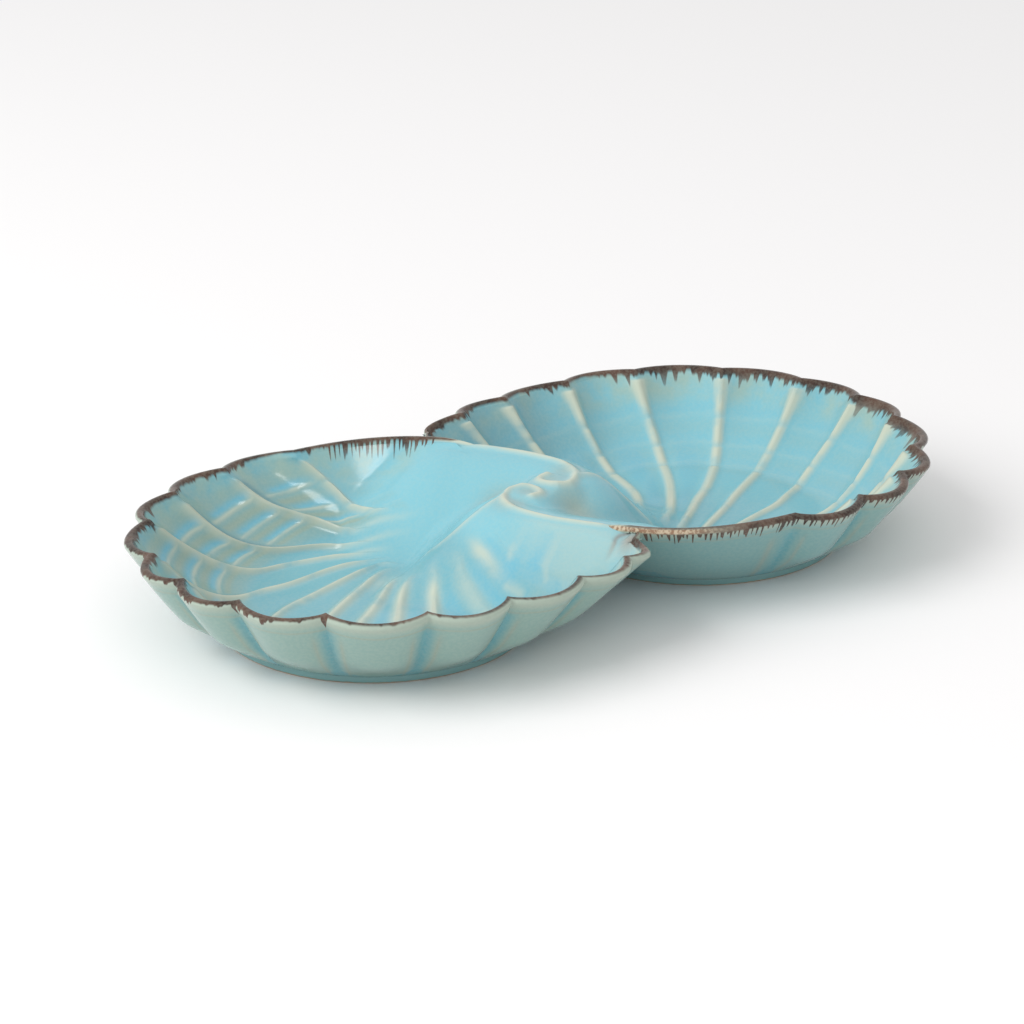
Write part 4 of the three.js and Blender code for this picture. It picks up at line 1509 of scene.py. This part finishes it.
    def iron_share(self, nodes: Nodes, reach: bpy.types.NodeSocket) -> bpy.types.NodeSocket:
        """Where the iron covers the glaze.

        Args:
            nodes: the material in the making.
            reach: distance inward from the lip's top, below 0 outside.

        Returns:
            A share from 0 to 1.
        """
        along = nodes.share("rim_s")
        tooth = nodes.step(nodes.noise(self.tooth_scale, 1.0, along), 0.36, 0.72)
        sway = nodes.math("MULTIPLY", nodes.noise(self.sway_scale, 1.0, along), self.comb_sway)
        wave = nodes.math("SINE", nodes.math("ADD", nodes.math("MULTIPLY", along, self.comb_pitch), sway))
        comb = nodes.math("MULTIPLY", nodes.share("comb"), nodes.step(wave, -0.3, 1.0))
        lone = nodes.math("MULTIPLY", nodes.math("SUBTRACT", 1.0, nodes.share("comb")), tooth)
        size = nodes.step(nodes.noise(self.size_scale, 1.0, along), 0.3, 0.7)
        patch = nodes.noise(self.patch_scale, 2.0, along)
        run = nodes.math("ADD", comb, lone)
        run = nodes.math("MULTIPLY", run, nodes.math("ADD", 0.3, nodes.math("MULTIPLY", size, 0.7)))
        long_run = nodes.step(nodes.share("run_in"), 4.0, 7.0)
        bunch = nodes.math("MAXIMUM", nodes.step(patch, 0.45, 0.6), long_run)
        bunch = nodes.math("MAXIMUM", bunch, nodes.step(nodes.share("run_out"), 1.5, 2.5))
        run = nodes.math("MULTIPLY", run, bunch)
        width = nodes.math("MULTIPLY", nodes.share("iron_w"), nodes.math("ADD", patch, 0.35))
        inner = nodes.math("ADD", width, nodes.math("MULTIPLY", run, nodes.share("run_in")))
        outer = nodes.math("ADD", nodes.math("MULTIPLY", run, nodes.share("run_out")), nodes.share("tick"))
        outer = nodes.math("SUBTRACT", nodes.math("MULTIPLY", nodes.share("iron_o"), -1.0), outer)
        within = nodes.step(nodes.math("SUBTRACT", inner, reach), -0.9, 0.7)
        above = nodes.step(nodes.math("SUBTRACT", reach, outer), -0.4, 0.4)
        thinned = nodes.math("SUBTRACT", 1.0, nodes.math("MULTIPLY", nodes.step(reach, 2.0, 9.0), 0.45))
        return nodes.math("MULTIPLY", nodes.math("MULTIPLY", within, above), thinned)


@dataclass(frozen=True)
class ClayFinish:
    """Bare tan clay at the foot, under a line of thin glaze."""

    clay: Colour = (0.4, 0.3, 0.19)
    glaze: Colour = (0.22, 0.4, 0.4)
    glaze_line: float = 0.5

    def make(self) -> bpy.types.Material:
        """The foot's material.

        Returns:
            The material.
        """
        nodes = Nodes("foot_clay")
        split = nodes.add("ShaderNodeSeparateXYZ")
        nodes.feed(split.inputs[0], nodes.add("ShaderNodeTexCoord").outputs["Object"])
        wander = nodes.math("MULTIPLY", nodes.noise(300.0), 0.0008)
        level = nodes.math("ADD", split.outputs["Z"], wander)
        glazed = nodes.step(level, (self.glaze_line + 0.2) * MM, (self.glaze_line + 0.6) * MM)
        colour = nodes.between(glazed, self.clay, self.glaze)
        roughness = nodes.math("SUBTRACT", 0.8, nodes.math("MULTIPLY", glazed, 0.6))
        return nodes.finish(Base_Color=colour, Roughness=roughness)


@dataclass(frozen=True)
class FloorFinish:
    """Plain pale studio floor."""

    colour: Colour = (0.93, 0.92, 0.92)

    def make(self) -> bpy.types.Material:
        """The floor's material."""
        return Nodes("floor").finish(Base_Color=self.colour, Roughness=0.9, Specular_IOR_Level=0.0)


class Dish:
    """The whole dish: two shells with lips and feet, and the scroll over their joint."""

    TIP_PULLS: ClassVar[dict[Side, tuple[float, float, float]]] = {
        Side.LEFT: (-2.5, 3.5, -1.0),
        Side.RIGHT: (1.6, -5.0, -2.0),
    }
    TIP_REACH: ClassVar[float] = 16.0

    def __init__(self) -> None:
        """Takes the CAD's sizes."""
        self.form = DishForm()
        fan = Fan(self.form)
        self.bowls = {side: Bowl(self.form, fan, Relief(self.form, fan, side)) for side in Side}
        self.foot = FootRing(self.form)

    def build(self) -> None:
        """Builds and dresses every piece, with normals shared across the seams."""
        parts: list[tuple[str, Skin]] = []
        for side, bowl in self.bowls.items():
            inside, scroll = bowl.inside()
            skins = (("scroll_divider", inside.part(scroll)), (f"{side.value}_shell", inside.part(~scroll)),
                     (f"{side.value}_rim_band", bowl.band()), (f"{side.value}_shell", bowl.outside()))
            for name, skin in skins:
                drawn = skin.pulled(self.form.tip, self.TIP_PULLS[side], self.TIP_REACH).turned(side.turn)
                drawn.shares.update(IRON_RIMS[side].shares(drawn.shares["lobe"]))
                parts.append((name, drawn))
        normals = Skin.joined([skin for _, skin in parts]).normals()
        ends = np.cumsum([len(skin.points) for _, skin in parts])
        shown: dict[str, list[tuple[Skin, Array]]] = {}
        for (name, skin), aims in zip(parts, np.split(normals, ends[:-1])):
            shown.setdefault(name, []).append((skin, aims))
        glaze = GlazeFinish().make("glaze")
        for name, group in shown.items():
            skin = Skin.joined([skin for skin, _ in group])
            piece = skin.to_object(name + "_glazed", np.vstack([aims for _, aims in group]), glaze)
            self.place(piece, name)
        clay = ClayFinish().make()
        for side in Side:
            name = f"{side.value}_foot_ring"
            self.place(self.foot.skin().turned(side.turn).to_object(name + "_clay", None, clay), name)

    @staticmethod
    def place(piece: bpy.types.Object, node: str) -> None:
        """Sets a piece on the frame in place of its CAD node.

        Args:
            piece: the dressed piece.
            node: name of the node.
        """
        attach(piece, "root")
        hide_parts(node)
        LOG.info("%s: %d faces", piece.name, len(piece.data.polygons))


@dataclass(frozen=True)
class Lamp:
    """A square soft box that faces the dish: its place and side in metres, and its power in watts."""

    name: str
    place: tuple[float, float, float]
    size: float
    power: float
    shine: Shine

    def build(self, mirror: str) -> None:
        """Hangs the lamp.

        Args:
            mirror: name of the one object that a lamp for gloss shows in.
        """
        light = bpy.data.lights.new(self.name, "AREA")
        light.size = self.size
        light.energy = self.power
        lamp = bpy.data.objects.new(self.name, light)
        lamp.visible_diffuse = self.shine is Shine.MATT
        lamp.visible_glossy = self.shine is Shine.GLOSS
        lamp.location = self.place
        lamp.rotation_euler = (-Vector(self.place)).to_track_quat("-Z", "Y").to_euler()
        if self.shine is Shine.GLOSS:
            receivers = bpy.data.collections.new(self.name + "_mirror")
            receivers.objects.link(bpy.data.objects[mirror])
            lamp.light_linking.receiver_collection = receivers
        bpy.context.scene.collection.objects.link(lamp)


@dataclass(frozen=True)
class Studio:
    """White studio: floor, soft light and the photograph's camera, whose places are in millimetres."""

    eye: tuple[float, float, float] = (-796.1, -1050.6, 543.3)
    target: tuple[float, float, float] = (28.6, 54.8, 0.0)
    lens: float = 139.0
    sensor: float = 36.0
    view_length: float = 50.0
    floor_half: float = 6.0
    mirror: str = "left_shell_glazed"
    sky: float = 0.72
    lamps: tuple[Lamp, ...] = (
        Lamp("key", (-1.5, 0.25, 1.25), 1.4, 24.5, Shine.MATT),
        Lamp("fill", (-0.6, -1.6, 1.3), 1.2, 3.5, Shine.MATT),
        Lamp("window", (-0.1, -0.72, 1.08), 0.42, 4.0, Shine.GLOSS),
    )

    def build(self) -> None:
        """Makes the floor, the light and the camera."""
        self.build_floor()
        self.build_sky()
        for lamp in self.lamps:
            lamp.build(self.mirror)
        self.build_camera()

    def build_floor(self) -> None:
        """Lays the floor that the dish stands on."""
        half = self.floor_half
        corners = [(-half, -half, 0), (half, -half, 0), (half, half, 0), (-half, half, 0)]
        mesh = bpy.data.meshes.new("floor")
        mesh.from_pydata(corners, [], [(0, 1, 2, 3)])
        mesh.materials.append(FloorFinish().make())
        floor = bpy.data.objects.new("floor", mesh)
        bpy.context.scene.collection.objects.link(floor)

    def build_sky(self) -> None:
        """Sets even white light, and plain white where the camera sees past the floor."""
        world = bpy.data.worlds.new("studio")
        world.use_nodes = True
        tree = world.node_tree
        tree.nodes.clear()
        seen = tree.nodes.new("ShaderNodeLightPath")
        strength = tree.nodes.new("ShaderNodeMapRange")
        strength.inputs["To Min"].default_value = self.sky
        strength.inputs["To Max"].default_value = 1.0
        back = tree.nodes.new("ShaderNodeBackground")
        tree.links.new(seen.outputs["Is Camera Ray"], strength.inputs["Value"])
        tree.links.new(strength.outputs["Result"], back.inputs["Strength"])
        back.inputs["Color"].default_value = (1.0, 1.0, 1.0, 1.0)
        tree.links.new(back.outputs[0], tree.nodes.new("ShaderNodeOutputWorld").inputs["Surface"])
        bpy.context.scene.world = world

    def build_camera(self) -> None:
        """Sets up the photograph's camera."""
        data = bpy.data.cameras.new("camera")
        data.lens = self.lens
        data.sensor_width = self.sensor
        data.clip_end = self.view_length
        camera = bpy.data.objects.new("camera", data)
        camera.location = Vector(self.eye) * MM
        camera.rotation_euler = (Vector(self.target) - Vector(self.eye)).to_track_quat("-Z", "Y").to_euler()
        bpy.context.scene.collection.objects.link(camera)
        bpy.context.scene.camera = camera


def main() -> None:
    """Builds the dish and its studio, and notes the sizes."""
    logging.basicConfig(level=logging.INFO)
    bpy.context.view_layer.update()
    bpy.context.scene.view_settings.view_transform = "Standard"
    Dish().build()
    Studio().build()
    bpy.context.view_layer.update()


if __name__ == "__main__":
    main()
